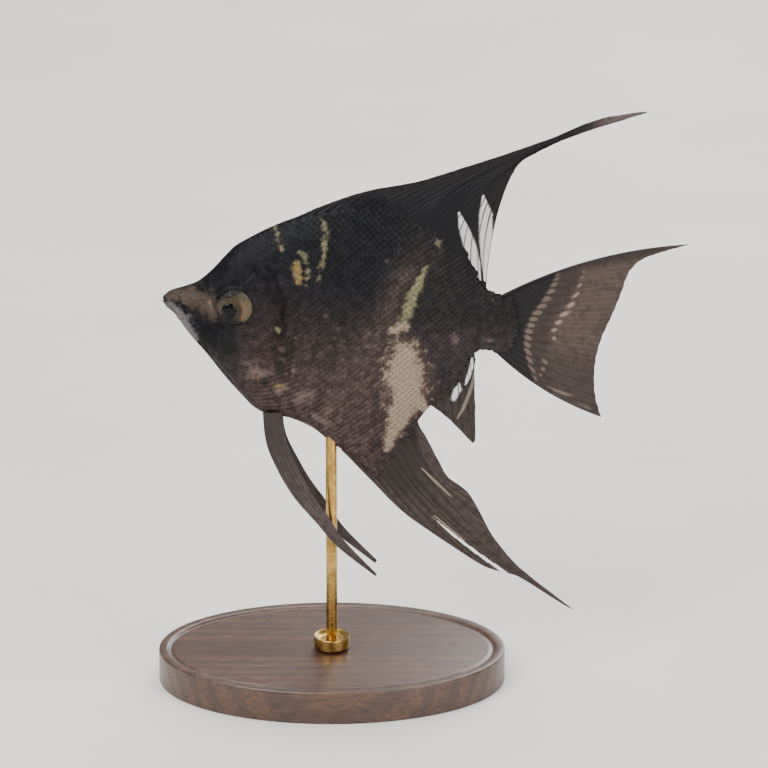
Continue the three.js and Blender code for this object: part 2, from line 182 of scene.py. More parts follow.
half_width = profile([
    [0, 1.2], [4, 2.9], [10, 5], [20, 7.4], [32, 8.6], [44, 8.8], [58, 7.9], [72, 5.7], [85, 3.8],
    [95, 2.7], [100, 2]])
widest_level = profile([[0, -0.2], [12, -1], [30, -3.5], [50, -6], [70, -3], [100, 1]])
KEEL = 1.35


def half_thickness(x, z):
    level = widest_level(x)
    reach = np.where(z > level, back(x) - level, level - belly(x))
    rise = np.clip(np.abs(z - level) / reach, 0, 1)
    return half_width(x) * (1 - rise**2) ** (KEEL / 2)


print("deepest", round(float(back(60) - belly(60)), 1), "percent; thickest",
      round(2 * float(half_width(44)), 1), "percent")

# %% [markdown]
# Small helpers: clean selection before each operator, points read and written all at once, and values
# kept on the points, where materials can read them.
# %% Mesh helpers


def mode(kind):
    bpy.ops.object.mode_set(mode=kind)


def start():
    if bpy.context.object and bpy.context.object.mode != "OBJECT":
        mode("OBJECT")
    bpy.ops.object.select_all(action="DESELECT")


def named(name):
    piece = bpy.context.object
    piece.name = name
    piece.data.name = name
    return piece


def only(piece):
    start()
    piece.select_set(True)
    bpy.context.view_layer.objects.active = piece
    return piece


def settle(piece):
    """Puts the object at the origin, unturned and unscaled, with its place in its mesh."""
    only(piece)
    bpy.ops.object.transform_apply(location=True, rotation=True, scale=True)
    return piece


def points_of(mesh):
    flat = np.empty(3 * len(mesh.vertices))
    mesh.vertices.foreach_get("co", flat)
    return flat.reshape(-1, 3)


def set_points(mesh, points):
    mesh.vertices.foreach_set("co", np.ascontiguousarray(points, float).ravel())
    mesh.update()


def normals_of(mesh):
    flat = np.empty(3 * len(mesh.vertices))
    mesh.vertex_normals.foreach_get("vector", flat)
    return flat.reshape(-1, 3)


def keep(mesh, name, values):
    """Stores a value, or a colour, on each point."""
    values = np.asarray(values, np.float32)
    kind = "FLOAT" if values.ndim == 1 else "FLOAT_COLOR"
    if values.ndim == 2 and values.shape[1] == 3:
        values = np.column_stack([values, np.ones(len(values), np.float32)])
    layer = mesh.attributes.get(name) or mesh.attributes.new(name, kind, "POINT")
    layer.data.foreach_set("value" if kind == "FLOAT" else "color", values.ravel())


def soften(piece):
    for polygon in piece.data.polygons:
        polygon.use_smooth = True


def pick_faces(piece, test):
    """Goes into edit mode with the faces selected that pass the test."""
    only(piece)
    mode("EDIT")
    bpy.ops.mesh.select_all(action="DESELECT")
    mode("OBJECT")
    for polygon in piece.data.polygons:
        polygon.select = test(polygon)
    mode("EDIT")
    bpy.ops.mesh.select_mode(type="FACE")


def apply(piece, kind, **settings):
    modifier = piece.modifiers.new(kind.lower(), kind)
    for name, value in settings.items():
        setattr(modifier, name, value)
    only(piece)
    bpy.ops.object.modifier_apply(modifier=modifier.name)
    return piece


def outward(piece):
    """Merges doubles and turns every face out."""
    only(piece)
    mode("EDIT")
    bpy.ops.mesh.select_all(action="SELECT")
    bpy.ops.mesh.remove_doubles(threshold=1e-7)
    bpy.ops.mesh.normals_make_consistent(inside=False)
    mode("OBJECT")
    return piece


def srgb(r, g, b):
    c = np.array([r, g, b]) / 255
    return np.where(c <= 0.04045, c / 12.92, ((c + 0.055) / 1.055) ** 2.4)


# %% [markdown]
# Marks. A marble angelfish is charcoal, browner low on the flank, with a cream bar before the tail,
# gold flecks behind the head and a tan band from the snout to the eye. Each mark is a short drawn
# line: place, half width and strength, so one function colours skin and scales alike. It gives a soft
# field that is one half on the mark's edge, and the material roughens that edge.
# %% The marks and where they lie
CREAM = [
    [(71.9, -9.2, 3.9, 0.92), (71.8, -12.3, 4.7, 1), (72.5, -16, 5.1, 1), (73.6, -20, 4.9, 1),
     (73.6, -24, 4.5, 1), (72, -28, 3.4, 1), (71, -32, 2.4, 0.95), (70.2, -36, 1.9, 0.85),
     (69.2, -40.5, 1.2, 0.7)],
    [(75, -21, 3, 1), (78, -25.6, 1.8, 0.9), (79.6, -27, 1.2, 0.8)],
    [(43.4, -24.2, 0.7, 0.62), (44.2, -24.2, 0.7, 0.62)],
    [(67.2, -1.6, 1.9, 0.6), (69.4, -1, 2, 0.66), (71, -0.2, 1.8, 0.6)],
    [(68.4, -4.8, 2.2, 0.42), (71, -6, 2.2, 0.44), (72.4, -7.6, 2.2, 0.46)],
    [(13.6, 2.2, 1.8, 0.3), (14.6, -0.2, 1.8, 0.3)],
]
GOLD = [
    [(38, 16.4, 0.9, 0.75), (38.4, 14, 1.2, 1), (39, 11.4, 1.1, 0.95)],
    [(34.6, -21.8, 0.9, 0.6), (37.5, -21.8, 1, 0.65)],
    [(28.4, -19.4, 1, 0.5), (29.4, -19.9, 1, 0.5)],
]
STRAW = [
    [(75.9, 17.6, 0.7, 0.62), (74.3, 14.1, 1.1, 0.95), (72.4, 9.3, 1.5, 1), (71.6, 4.6, 1.5, 0.95),
     (70.4, 0.9, 1.5, 0.8), (68.8, -2.2, 1.2, 0.6)],
    [(44.4, 29, 0.8, 0.5), (45.9, 25.6, 1.2, 0.58), (45.9, 20.5, 1.2, 0.6), (45.2, 15.4, 1.1, 0.54),
     (44.9, 12.4, 0.9, 0.46)],
    [(31.3, 25, 0.7, 0.46), (32.2, 22.6, 1, 0.54), (33.3, 19.4, 1, 0.5)],
    [(38.8, 19.6, 1, 0.55), (40.6, 17.6, 1, 0.52), (41.4, 13.8, 0.9, 0.5), (41.3, 10.8, 0.9, 0.52)],
    [(78.6, 25.4, 1.2, 0.58), (78.4, 23.6, 1, 0.5)],
    [(34, -3.2, 1, 0.6), (34.8, -4.2, 0.9, 0.6)],
]
PALE = [
    [(42.4, -26, 1.9, 0.8), (43.6, -24.2, 1.8, 0.9)],
    [(27, -15.7, 2.2, 0.6), (29.4, -18.6, 2.4, 0.66), (32, -18.4, 2, 0.6)],
    [(35.8, -23.6, 1.6, 0.7), (37.6, -22, 1.6, 0.75)],
    [(47.4, -31.4, 1.5, 0.75), (50, -32.6, 1.5, 0.8)],
    [(39.5, -14.4, 0.8, 0.6), (39.9, -17, 0.8, 0.6)],
    [(50.6, -29.4, 1.2, 0.6), (52.4, -27, 1.1, 0.6)],
    [(84.6, -3, 1.6, 0.5), (86.4, -4.6, 1.4, 0.5)],
    [(76.4, -28.4, 1.2, 0.6), (77.4, -30, 0.9, 0.55)],
    [(95, -3.4, 1.2, 0.5), (96.8, -4.2, 1, 0.5)],
]
BRONZE = [
    [(1.5, 1.4, 1.1, 0.8), (5.3, 2.2, 1.9, 0.95), (9, 2.6, 2.5, 1), (12.4, 1.6, 2.9, 1),
     (15.2, -0.4, 2.5, 1)],
]
JAW = [
    [(2.2, -1.4, 1.5, 0.85), (4.2, -2.6, 2, 1), (6.4, -5.4, 1.9, 1), (9, -8.6, 1.4, 0.85), (11, -11, 1, 0.6)],
]
DARK = [
    [(16, -9, 2.4, 0.7), (21, -11.5, 2.6, 0.7)],
    [(31.6, -21.2, 1.2, 0.8), (32, -19.8, 1, 0.7)],
]


def field(places, streaks):
    """How strongly the nearest streak shows at each place."""
    best = np.zeros(places.shape[:-1])
    for streak in streaks:
        gap, row = distance(places, streak)
        best = np.maximum(best, row[..., 1] / (1 + (gap / row[..., 0]) ** 2))
    return best


def ground(places):
    """The colour under the marks: charcoal above and ahead, brown on the lower flank, painted shade behind
    the gill cover.
    """
    x, z = places[..., 0], places[..., 1]
    upper = srgb(20, 20, 23)
    low = smooth(14, -25, z + 0.12 * (x - 50)) * smooth(16, 34, x) * smooth(84, 60, x)
    rear = smooth(60, 80, x) * (1 - low)
    throat = bump(x, 20, 9) * smooth(-6, -18, z)
    under_tail = smooth(62, 76, x) * smooth(5, -7, z)
    warm_bar = bump(x - 0.38 * z, 64.6, 5) * smooth(28, 12, z)
    # painted shade: a darker band just behind the gill cover's rear edge, where shade falls in the gill
    # opening
    painted_gill_shade = bump(x, 36, 3.4) * smooth(-22, -14, z) * smooth(10, 2, z)
    colour = upper + low[..., None] * (srgb(61, 48, 46) - upper)
    colour = colour + rear[..., None] * (srgb(30, 28, 28) - upper)
    colour = colour + under_tail[..., None] * 0.7 * (srgb(50, 42, 43) - colour)
    colour = colour + warm_bar[..., None] * 0.6 * (srgb(66, 54, 50) - colour)
    colour = colour * (1 - 0.45 * painted_gill_shade[..., None])
    return colour + throat[..., None] * 0.7 * (srgb(40, 36, 37) - upper)


def paint_marks(mesh, places):
    keep(mesh, "ground", ground(places))
    for name, kinds in (("marks_a", (CREAM, GOLD, STRAW)), ("marks_b", (PALE, BRONZE, DARK))):
        keep(mesh, name, np.stack([field(places, m) for m in kinds], -1))
    keep(mesh, "jaw", field(places, JAW))


# %% [markdown]
# The skin is one closed skin over head, gill covers, trunk and tail stalk, so no seam shows between
# them. A sphere has its poles where a fish has its snout and tail, so its rings become the body's
# sections: each point keeps its ring and its angle and moves to the body's outline. Rings crowd
# towards the head, where the detail is. The skin stays a little inside the solids, under the scales.
# %% The skin's sections
SEGMENTS, RINGS = 232, 300
COAT_DEPTH = 0.10 * MM
NOSE_AT, STALK_AT = 0.15, 99.85
NOSE_ROUNDING, STALK_ROUNDING = 1.9, 1.2


def rounded(depth):
    """A quarter circle from 0 at an end to 1 where the rounding is over."""
    return np.sqrt(np.clip(1 - (1 - np.clip(depth, 0, 1)) ** 2, 0, 1))


start()
bpy.ops.mesh.primitive_uv_sphere_add(segments=SEGMENTS, ring_count=RINGS, radius=1)
skin = named("skin")
ball = points_of(skin.data)
station = np.arccos(np.clip(ball[:, 2], -1, 1)) / math.pi
angle = np.arctan2(ball[:, 1], ball[:, 0])
turn = 1 - np.abs(((angle / math.pi) % 2) - 1)  # 0 at the belly, 1 at the back
q = 2 * turn - 1
f = 0.65 * q + 0.35 * np.sin(math.pi * q / 2)  # draws the points a little towards back and belly
side = np.where(np.sin(angle) < 0, -1.0, 1.0)
x = NOSE_AT + (STALK_AT - NOSE_AT) * station**1.5
rounding = rounded((x - NOSE_AT) / NOSE_ROUNDING) * rounded((STALK_AT - x) / STALK_ROUNDING)
inset = COAT_DEPTH / PERCENT
top, low, level = back(x) - inset, belly(x) + inset, widest_level(x)
z = level + rounding * np.where(f > 0, f * (top - level), f * (level - low))
y = side * rounding * (half_width(x) - inset) * (1 - f**2) ** (KEEL / 2)
set_points(skin.data, world(x, z, y * PERCENT))
outward(skin)
print("skin", len(skin.data.vertices), "points")

# %% [markdown]
# Folds and plates of the head, each a push in or out along the skin's own normals: the oblique mouth
# with its lips, the jaw plate behind it, the nostril, the ring of bone round the eye, the cheek plate,
# the step at the rear edge of the gill cover and the folds under the throat. The pushes are a few
# tenths of a millimetre, and only the eye's socket is deeper.
# %% Folds and plates of the head
MOUTH = [(0, -0.2), (1.6, -1), (3.4, -2.4), (5, -4.2)]
JAW_PLATE = [(4.4, 2.2), (5.8, -0.6), (6.9, -3.6), (6.6, -6.4)]
CHEEK = [(28, 8), (27.6, 0), (26.5, -7), (23.5, -12.5), (18, -15.5), (13, -13.5)]
GILL_EDGE = [(29, 14.5), (31.6, 11), (34.2, 5), (35.4, -4), (33.2, -13), (28, -21), (22, -26)]
COVER_SEAM = [(31, 5), (33, -2.5), (27.5, -12)]
THROAT_FOLDS = [
    [(14, -12), (20, -17.5), (26, -22)], [(12, -11.6), (18, -18), (24, -24)], [(9, -8.6), (14, -14)]]
NOSTRILS = (((11.6, 4.6), 0.3), ((13, 5.7), 0.16))  # place and depth
EYE_AT, EYE_EDGE, SOCKET_DEPTH = (21.7, 1.3), 5.1, 1.6  # the iris's middle, its ring and its seat


def behind(points, line):
    """Signed distance from a line drawn from top to bottom: positive on the tail's side."""
    gap, _ = distance(points, line)
    xs = np.interp(-points[..., 1], [-p[1] for p in line], [p[0] for p in line])
    return np.where(points[..., 0] > xs, gap, -gap)


def head_relief(places):
    """Millimetres out (+) or in (-) at each place on the side of the fish."""
    x, z = places[..., 0], places[..., 1]
    push = np.zeros(x.shape)
    gap, _ = distance(places, MOUTH)
    inner = smooth(6.2, 4.6, x)
    push += inner * (-0.55 * bump(gap, 0, 0.45) + 0.16 * bump(gap, 1.15, 0.6))
    gap, _ = distance(places, JAW_PLATE)
    push += -0.16 * bump(gap, 0, 0.45) + 0.07 * bump(gap, 1.1, 0.8) * (x < 7.5)
    for nostril, depth in NOSTRILS:
        r = np.hypot(x - nostril[0], z - nostril[1])
        push += -depth * bump(r, 0, 0.42) + 0.06 * bump(r, 0.85, 0.3)
    r = np.hypot(x - EYE_AT[0], z - EYE_AT[1])
    push += -SOCKET_DEPTH * smooth(EYE_EDGE + 0.1, EYE_EDGE - 0.7, r) + 0.13 * bump(r, EYE_EDGE + 0.65, 0.4)
    push += -0.07 * bump(r, EYE_EDGE + 1.7, 0.5) + 0.05 * bump(r, EYE_EDGE + 2.9, 0.7) * (z < 2)
    gap = behind(places, CHEEK)
    push += -0.1 * bump(gap, 0, 0.5) + 0.05 * bump(gap, -1.2, 0.9)
    gap = behind(places, GILL_EDGE)
    reach = smooth(15, 12, z) * smooth(-27, -22, z)
    push += reach * (0.10 * smooth(-3, -0.2, gap) * (gap < 0) - 0.26 * bump(gap, 0.5, 0.7) * (gap > -0.4))
    for crease, depth, width in ((COVER_SEAM, 0.04, 0.5), *((fold, 0.12, 0.4) for fold in THROAT_FOLDS)):
        gap, _ = distance(places, crease)
        push -= depth * bump(gap, 0, width)
    return push


def wrinkles(places, seed, scale):
    """A quiet unevenness: a few crossed waves from a fixed seed."""
    waves, draw = 9, np.random.default_rng(seed)
    total = np.zeros(places.shape[:-1])
    for _ in range(waves):
        direction = draw.normal(size=2) / scale
        total += np.sin(places @ direction + draw.uniform(0, 6.28))
    return total / waves


points, normals = points_of(skin.data), normals_of(skin.data)
places = np.column_stack([(points - snout) @ along, (points - snout) @ upward]) / PERCENT
flat = np.clip(np.abs(normals[:, 1]) * 2.2, 0, 1)
push = head_relief(places) * flat + 0.03 * wrinkles(places, 3, 1.1) * smooth(40, 30, places[:, 0])
lip_slit = smooth(2.2, 0.4, places[:, 0]) * bump(places[:, 1], -0.25, 0.3)
push -= 0.3 * lip_slit
set_points(skin.data, points + normals * (push * MM)[:, None])
paint_marks(skin.data, places)
soften(skin)
print("head relief from", round(float(push.min()), 2), "to", round(float(push.max()), 2), "mm")

# %% [markdown]
# Materials are built from nodes. This helper makes the few kinds of node that they share, so that
# each material reads as a short recipe: a base colour, tones painted over it one after the other,
# each by its share, and a bump at the right scale.
# %% Node helpers


class Recipe:
    def __init__(self, name, **sockets):
        self.material = bpy.data.materials.new(name)
        self.material.use_nodes = True
        self.tree = self.material.node_tree
        self.shader = self.tree.nodes["Principled BSDF"]
        for socket, value in sockets.items():
            self.shader.inputs[socket.replace("_", " ")].default_value = value
        self.place = self.node("TexCoord").outputs["Object"]

    def node(self, kind, **settings):
        node = self.tree.nodes.new("ShaderNode" + kind)
        for name, value in settings.items():
            setattr(node, name, value)
        return node

    def feed(self, socket, value):
        if isinstance(value, (int, float)):
            socket.default_value = value
        elif isinstance(value, (tuple, list, np.ndarray)):
            socket.default_value = (*value, 1)[: len(socket.default_value)]
        else:
            self.tree.links.new(value, socket)

    def math(self, operation, *values, clamp=False):
        node = self.node("Math", operation=operation, use_clamp=clamp)
        for socket, value in zip(node.inputs, values):
            self.feed(socket, value)
        return node.outputs[0]

    def plus(self, first, second):
        return self.math("ADD", first, second)

    def times(self, first, second):
        return self.math("MULTIPLY", first, second)

    def swing(self, noise, width):
        """A noise from 0 to 1 turned into one around zero, that wide."""
        return self.times(self.math("SUBTRACT", noise, 0.5), width)

    def ramp(self, value, low, high, to_low=0.0, to_high=1.0):
        node = self.node("MapRange", interpolation_type="SMOOTHSTEP")
        for socket, item in zip(node.inputs, (value, low, high, to_low, to_high)):
            self.feed(socket, item)
        return node.outputs[0]

    def value(self, name):
        return self.node("Attribute", attribute_name=name).outputs["Fac"]

    def colour(self, name):
        return self.node("Attribute", attribute_name=name).outputs["Color"]

    def parts(self, name):
        node = self.node("SeparateColor")
        self.feed(node.inputs[0], self.colour(name))
        return node.outputs

    def stretch(self, scale):
        """Scales the coordinates for the textures that follow."""
        node = self.node("Mapping")
        node.inputs["Scale"].default_value = scale
        self.feed(node.inputs["Vector"], self.place)
        self.place = node.outputs[0]

    def texture(self, kind, output, settings, **sockets):
        node = self.node("Tex" + kind, **settings)
        self.feed(node.inputs["Vector"], self.place)
        for socket, value in sockets.items():
            node.inputs[socket].default_value = value
        return node.outputs[output]

    def noise(self, per_mm, detail=3.0, roughness=0.55):
        return self.texture("Noise", "Fac", {}, Scale=per_mm / MM, Detail=detail, Roughness=roughness)

    def cells(self, per_mm):
        return self.texture("Voronoi", "Distance", {}, Scale=per_mm / MM)

    def waves(self, per_mm, distortion, detail=2.0, **settings):
        return self.texture("Wave", "Fac", settings, Scale=per_mm / MM, Distortion=distortion, Detail=detail)

    def mix(self, share, first, second):
        node = self.node("Mix", data_type="RGBA", clamp_factor=True)
        for socket, value in ((0, share), (6, first), (7, second)):
            self.feed(node.inputs[socket], value)
        return node.outputs[2]

    def tones(self, noise, first, second, low=0.35, high=0.65):
        """Two tones in patches that a noise parts."""
        return self.mix(self.ramp(noise, low, high), srgb(*first), srgb(*second))

    def paint(self, share, tone):
        """Lays a tone over the base colour."""
        self.base = self.mix(share, self.base, tone)

    def bump(self, height, strength, depth_mm):
        node = self.node("Bump")
        node.inputs["Strength"].default_value = strength
        node.inputs["Distance"].default_value = depth_mm * MM
        self.feed(node.inputs["Height"], height)
        self.feed(self.shader.inputs["Normal"], node.outputs[0])

    def finish(self, **sockets):
        for socket, value in {"Base_Color": self.base, **sockets}.items():
            self.feed(self.shader.inputs[socket.replace("_", " ")], value)
        return self.material


def wear(piece, material):
    piece.data.materials.clear()
    piece.data.materials.append(material)


# %% [markdown]
# Living skin is a dark pigment layer under a thin wet one, with silver crystals that catch the light.
# The marks come from the stored fields: noise moves their edges, so that a mark breaks into flecks
# instead of ending on a clean line. The same recipe serves skin and scales; scales add a darker rim
# and, here and there, a paler scale.
# %% Skin and scale finishes
EDGE_AT = 0.48  # the strength of a mark's field at its edge


def flesh(name, scaled):
    """The finish of the bare skin, or of the scales over it."""
    shine = 0.1 if scaled else 0.05
    r = Recipe(name, Roughness=0.5, Specular_IOR_Level=shine, Coat_Weight=0.2 * shine, Coat_Roughness=0.3)
    fine, coarse, grain = r.noise(3.2, 4), r.noise(0.8, 3), r.noise(14, 2)
    jitter = r.swing(r.plus(r.times(fine, 0.35), r.times(coarse, 0.65)), 1.7)

    def mark(value, softness):
        """The share of a mark: its field, with its edge moved by the noise."""
        moved = r.plus(value, r.times(jitter, r.ramp(value, 0.02, 0.3)))
        return r.ramp(moved, EDGE_AT - softness, EDGE_AT + softness)

    mottle = r.times(r.ramp(coarse, 0.35, 0.7, 0.7, 1.4), r.ramp(fine, 0.3, 0.7, 0.8, 1.2))
    scaling = r.node("VectorMath", operation="SCALE")
    r.feed(scaling.inputs[0], r.colour("ground"))
    r.feed(scaling.inputs["Scale"], mottle)
    r.base = scaling.outputs[0]
    cream, gold, straw = r.parts("marks_a")
    pale, bronze, dark = r.parts("marks_b")
    pale_tone = r.tones(fine, (108, 90, 86), (74, 62, 61), 0.4)
    for share, tone in (
        (mark(pale, 0.3), pale_tone),
        (mark(bronze, 0.3), r.tones(fine, (72, 60, 51), (50, 43, 38))),
        (mark(r.value("jaw"), 0.34), r.tones(fine, (110, 103, 103), (84, 79, 81))),
        (r.ramp(cream, 0.16, 0.5, 0, 0.75), r.tones(fine, (84, 66, 56), (60, 48, 43), 0.4, 0.62)),
        (mark(straw, 0.24), r.tones(fine, (126, 120, 86), (84, 80, 62), 0.38, 0.62)),
        (mark(gold, 0.22), r.tones(fine, (126, 103, 64), (86, 74, 50), 0.4, 0.62)),
        (mark(cream, 0.17), r.tones(fine, (145, 128, 109), (124, 108, 92))),
        (r.times(mark(dark, 0.24), 0.85), srgb(22, 22, 23)),
    ):
        r.paint(share, tone)
    if scaled:
        r.paint(r.ramp(r.value("mood"), 0.3, 1, 0, 0.3), pale_tone)
        r.paint(r.ramp(r.value("rim"), 0.8, 1, 0, 0.1), srgb(12, 12, 13))
        stripes = r.math("SINE", r.times(r.value("across"), 26))
        r.bump(r.plus(r.times(stripes, 0.4), grain), 0.15, 0.02)
        return r.finish(Roughness=r.ramp(fine, 0.3, 0.7, 0.4, 0.58))
    pores = r.ramp(r.cells(2.4), 0, 0.3, -1, 0)
    r.bump(r.plus(r.plus(grain, r.times(fine, 0.6)), pores), 0.3, 0.05)
    return r.finish(Roughness=r.ramp(fine, 0.3, 0.7, 0.34, 0.56))


skin_finish = flesh("fish_skin", False)
scale_finish = flesh("fish_scales", True)
wear(skin, skin_finish)
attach(skin, "root")
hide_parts("head", "lower_jaw", "gill_cover_left", "gill_cover_right", "trunk", "tail_stalk")
print("skin and scale finishes made")

# %% [markdown]
# Fins are fans of rays in a thin skin. Each fin is drawn as a fan takes shape on the bench: a short
# list of its main rays, each with its root, its middle and its tip, and a sheet that runs from ray to
# ray. A grid gives the sheet: across it the rays spread, along it they grow. The thickness of every
# point is kept as a vertex group, so Solidify raises the rays and leaves the skin between them thin.
# %% Building a fin from its rays
FIN_THICK = 1.3 * MM
THICK_STEPS, THINNEST = 60, 0.01
WEB_AT_ROOT, WEB_BEYOND = 0.15, 0.35  # how much thinner the skin is between rays
LOOKS = ("clear", "tone", "dusk")


def along_ray(keys, s, t):
    """The place at share t of the ray at share s, between the fin's main rays."""
    root, middle, tip = np.split(spread(keys, s), 3, axis=-1)
    t = t[..., None]
    return (1 - t) ** 2 * root + 2 * t * (1 - t) * middle + t**2 * tip


def grid_shares(piece, rays, fray):
    """Each point's share across the fin and along its rays, cut back a little between them at the edge."""
    grid = points_of(piece.data)
    s, t = (grid[:, 0] + 1) / 2, (grid[:, 1] + 1) / 2
    notch = (1 - np.abs(np.cos(math.pi * rays * s))) * (0.6 + 0.4 * np.sin(37 * s) * np.sin(61 * s + 1))
    return s, t * (1 - fray * notch * smooth(0.5, 1, t))


def fan(name, place, lean, rays, columns, rows, thick, gap=None, fray=0.0, **looks):
    """A fin piece. place(s, t) is [x, z] in percent, lean and thick(s, t) are millimetres."""
    start()
    bpy.ops.mesh.primitive_grid_add(x_subdivisions=columns, y_subdivisions=rows, size=2)
    fin = named(name)
    s, t = grid_shares(fin, rays, fray)
    if gap is not None:
        cut = gap(s, t)
        pick_faces(fin, lambda face: all(cut[list(face.vertices)]))
        bpy.ops.mesh.delete(type="FACE")
        mode("OBJECT")
        s, t = grid_shares(fin, rays, fray)
    spot = place(s, t)
    ridge = np.cos(math.pi * rays * s) ** 2
    branch = np.cos(2 * math.pi * rays * s) ** 2
    ray = ridge + (0.8 * branch - 0.3 * ridge) * smooth(0.35, 0.75, t)
    for value, values in (("across", s), ("along", t), ("ray", ray)):
        keep(fin.data, value, values)
    for look in LOOKS:
        keep(fin.data, look, looks[look](s, t, spot) if look in looks else np.zeros(len(s)))
    set_points(fin.data, world(spot[:, 0], spot[:, 1], lean(s, t) * MM))
    thinning = (WEB_AT_ROOT + WEB_BEYOND * smooth(0, 0.6, t)) * (1 - np.clip(ray, 0, 1))
    share = np.clip(thick(s, t) * (1 - thinning) * MM / FIN_THICK, 0, 1)
    group = fin.vertex_groups.new(name="thickness")
    for step in range(THICK_STEPS + 1):
        members = np.nonzero(np.round(share * THICK_STEPS).astype(int) == step)[0]
        if len(members):
            group.add(members.tolist(), max(step / THICK_STEPS, THINNEST), "REPLACE")
    apply(fin, "SOLIDIFY", thickness=FIN_THICK, offset=0, vertex_group="thickness", use_rim=True)
    outward(fin)
    soften(fin)
    print(name, len(fin.data.polygons), "faces")
    return fin


# %% [markdown]
# A fin's skin is dark pigment over clear tissue. Its finish darkens the rays, breaks the pigment into
# fine freckles, lets the clear panels through and gives the surface the cross joints of soft rays.
# %% Fin finishes


def fin_finish(
    name, dark, light, pale, roots, root_to=0.75, ray_dark=0.55, clear_alpha=0.2, ray_alpha=0.7,
):
    """A fin's finish: tones for its rays, skin, pale marks and root, and how solid its clear parts are."""
    r = Recipe(name, Roughness=0.55, Specular_IOR_Level=0.12, Coat_Weight=0.02, Coat_Roughness=0.3)
    fine, coarse = r.noise(4, 4), r.noise(0.9, 3)
    ray, grown = r.value("ray"), r.value("along")
    r.base = r.mix(r.ramp(grown, 0.05, root_to), srgb(*roots), srgb(*light))
    r.paint(r.ramp(ray, 0.25, 0.85, 0, ray_dark), srgb(*dark))
    r.paint(r.ramp(coarse, 0.42, 0.68, 0, 0.6), srgb(*dark))
    r.paint(r.ramp(r.plus(r.value("tone"), r.swing(fine, 0.7)), 0.3, 0.7), srgb(*pale))
    dusk = r.plus(r.value("dusk"), r.swing(fine, 0.3))
    r.paint(r.math("MULTIPLY", dusk, r.ramp(dusk, 0, 0.2), clamp=True), srgb(26, 24, 26))
    joints = r.math("SINE", r.times(grown, 150))
    r.bump(r.plus(r.times(joints, 0.15), r.times(fine, 0.8)), 0.3, 0.04)
    clear = r.plus(r.value("clear"), r.swing(fine, 0.4))
    web = r.ramp(clear, 0.35, 0.65, 1.0, clear_alpha)
    shown = r.math("MAXIMUM", web, r.ramp(ray, 0.82, 1.0, 0, ray_alpha))
    return r.finish(Alpha=shown, Roughness=r.ramp(fine, 0.3, 0.7, 0.36, 0.6))


dorsal_finish = fin_finish("dorsal_skin", (16, 16, 18), (36, 32, 33), (92, 78, 74), (20, 20, 23), 1.1)
anal_finish = fin_finish("anal_skin", (37, 32, 30), (71, 60, 55), (128, 114, 100), (46, 40, 38))
tail_finish = fin_finish("tail_skin", (55, 45, 40), (79, 67, 61), (134, 114, 103), (24, 23, 25), 0.3, 0.4)
feeler_finish = fin_finish("feeler_skin", (46, 40, 38), (88, 76, 72), (116, 102, 96), (56, 48, 46))
clear_finish = fin_finish(
    "clear_skin", (44, 39, 37), (50, 45, 43), (60, 54, 50), (38, 34, 34), clear_alpha=0.04, ray_alpha=0.2)
print("fin finishes made")

# %% [markdown]
# The dorsal fin: spines that lean back and grow, then the soft rays of the streamer, and short rear
# rays that rise and sweep back, with clear panels between the last of them.
# %% Dorsal fin
DORSAL_RAYS = [
    (32.6, 25, 33, 26, 33.4, 26.5), (35.4, 26, 36.4, 27.6, 38, 28.8), (39, 27.4, 41.5, 30.8, 46, 33.1),
    (45, 29.4, 49.5, 34, 57, 38.1), (51, 30.5, 58, 36.2, 71.8, 42.4), (57, 31, 66, 38.6, 85.8, 48.3),
    (62, 30.5, 73, 40.4, 98.8, 54.1), (66, 29.6, 78, 41, 111.7, 60.3), (69.5, 28.3, 79, 42.6, 122.6, 66),
    (72.5, 27, 82.4, 48.8, 135.2, 68.9), (77, 25, 84.5, 46.8, 120.4, 62.8), (82, 20.8, 84, 44.2, 112.8, 59),
    (87.5, 15.3, 83.4, 42.6, 106.3, 55.1), (92.3, 11.2, 86.4, 40, 101.6, 52.1),
    (94, 9.7, 92.8, 34, 99.2, 49.7),
]
CLEAR_PANELS = [
    [(83.9, 33.8, 0.3, 1), (85.6, 29.5, 1.3, 1), (88, 24, 1.7, 1), (90.3, 18.5, 1.2, 1), (92, 13.5, 0.3, 1)],
    [(90.4, 39.6, 0.3, 1), (91.7, 34, 1.8, 1), (92.4, 27, 1.8, 1), (92.9, 21, 1.3, 1), (93.4, 13.5, 0.3, 1)],
]
dorsal = fan(
    "dorsal_fin_skin", lambda s, t: along_ray(DORSAL_RAYS, s, t),
    lambda s, t: -0.3 * t * t * np.sin(math.pi * s), rays=26, columns=364, rows=100,
    thick=lambda s, t: 0.3 + 0.95 * (1 - t) ** 2.2, fray=0.012,
    clear=lambda s, t, spot: 1.1 * field(spot, CLEAR_PANELS),
    tone=lambda s, t, spot: 0.62 * smooth(104, 130, spot[:, 0]))
wear(dorsal, dorsal_finish)
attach(dorsal, "root")
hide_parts("dorsal_fin")

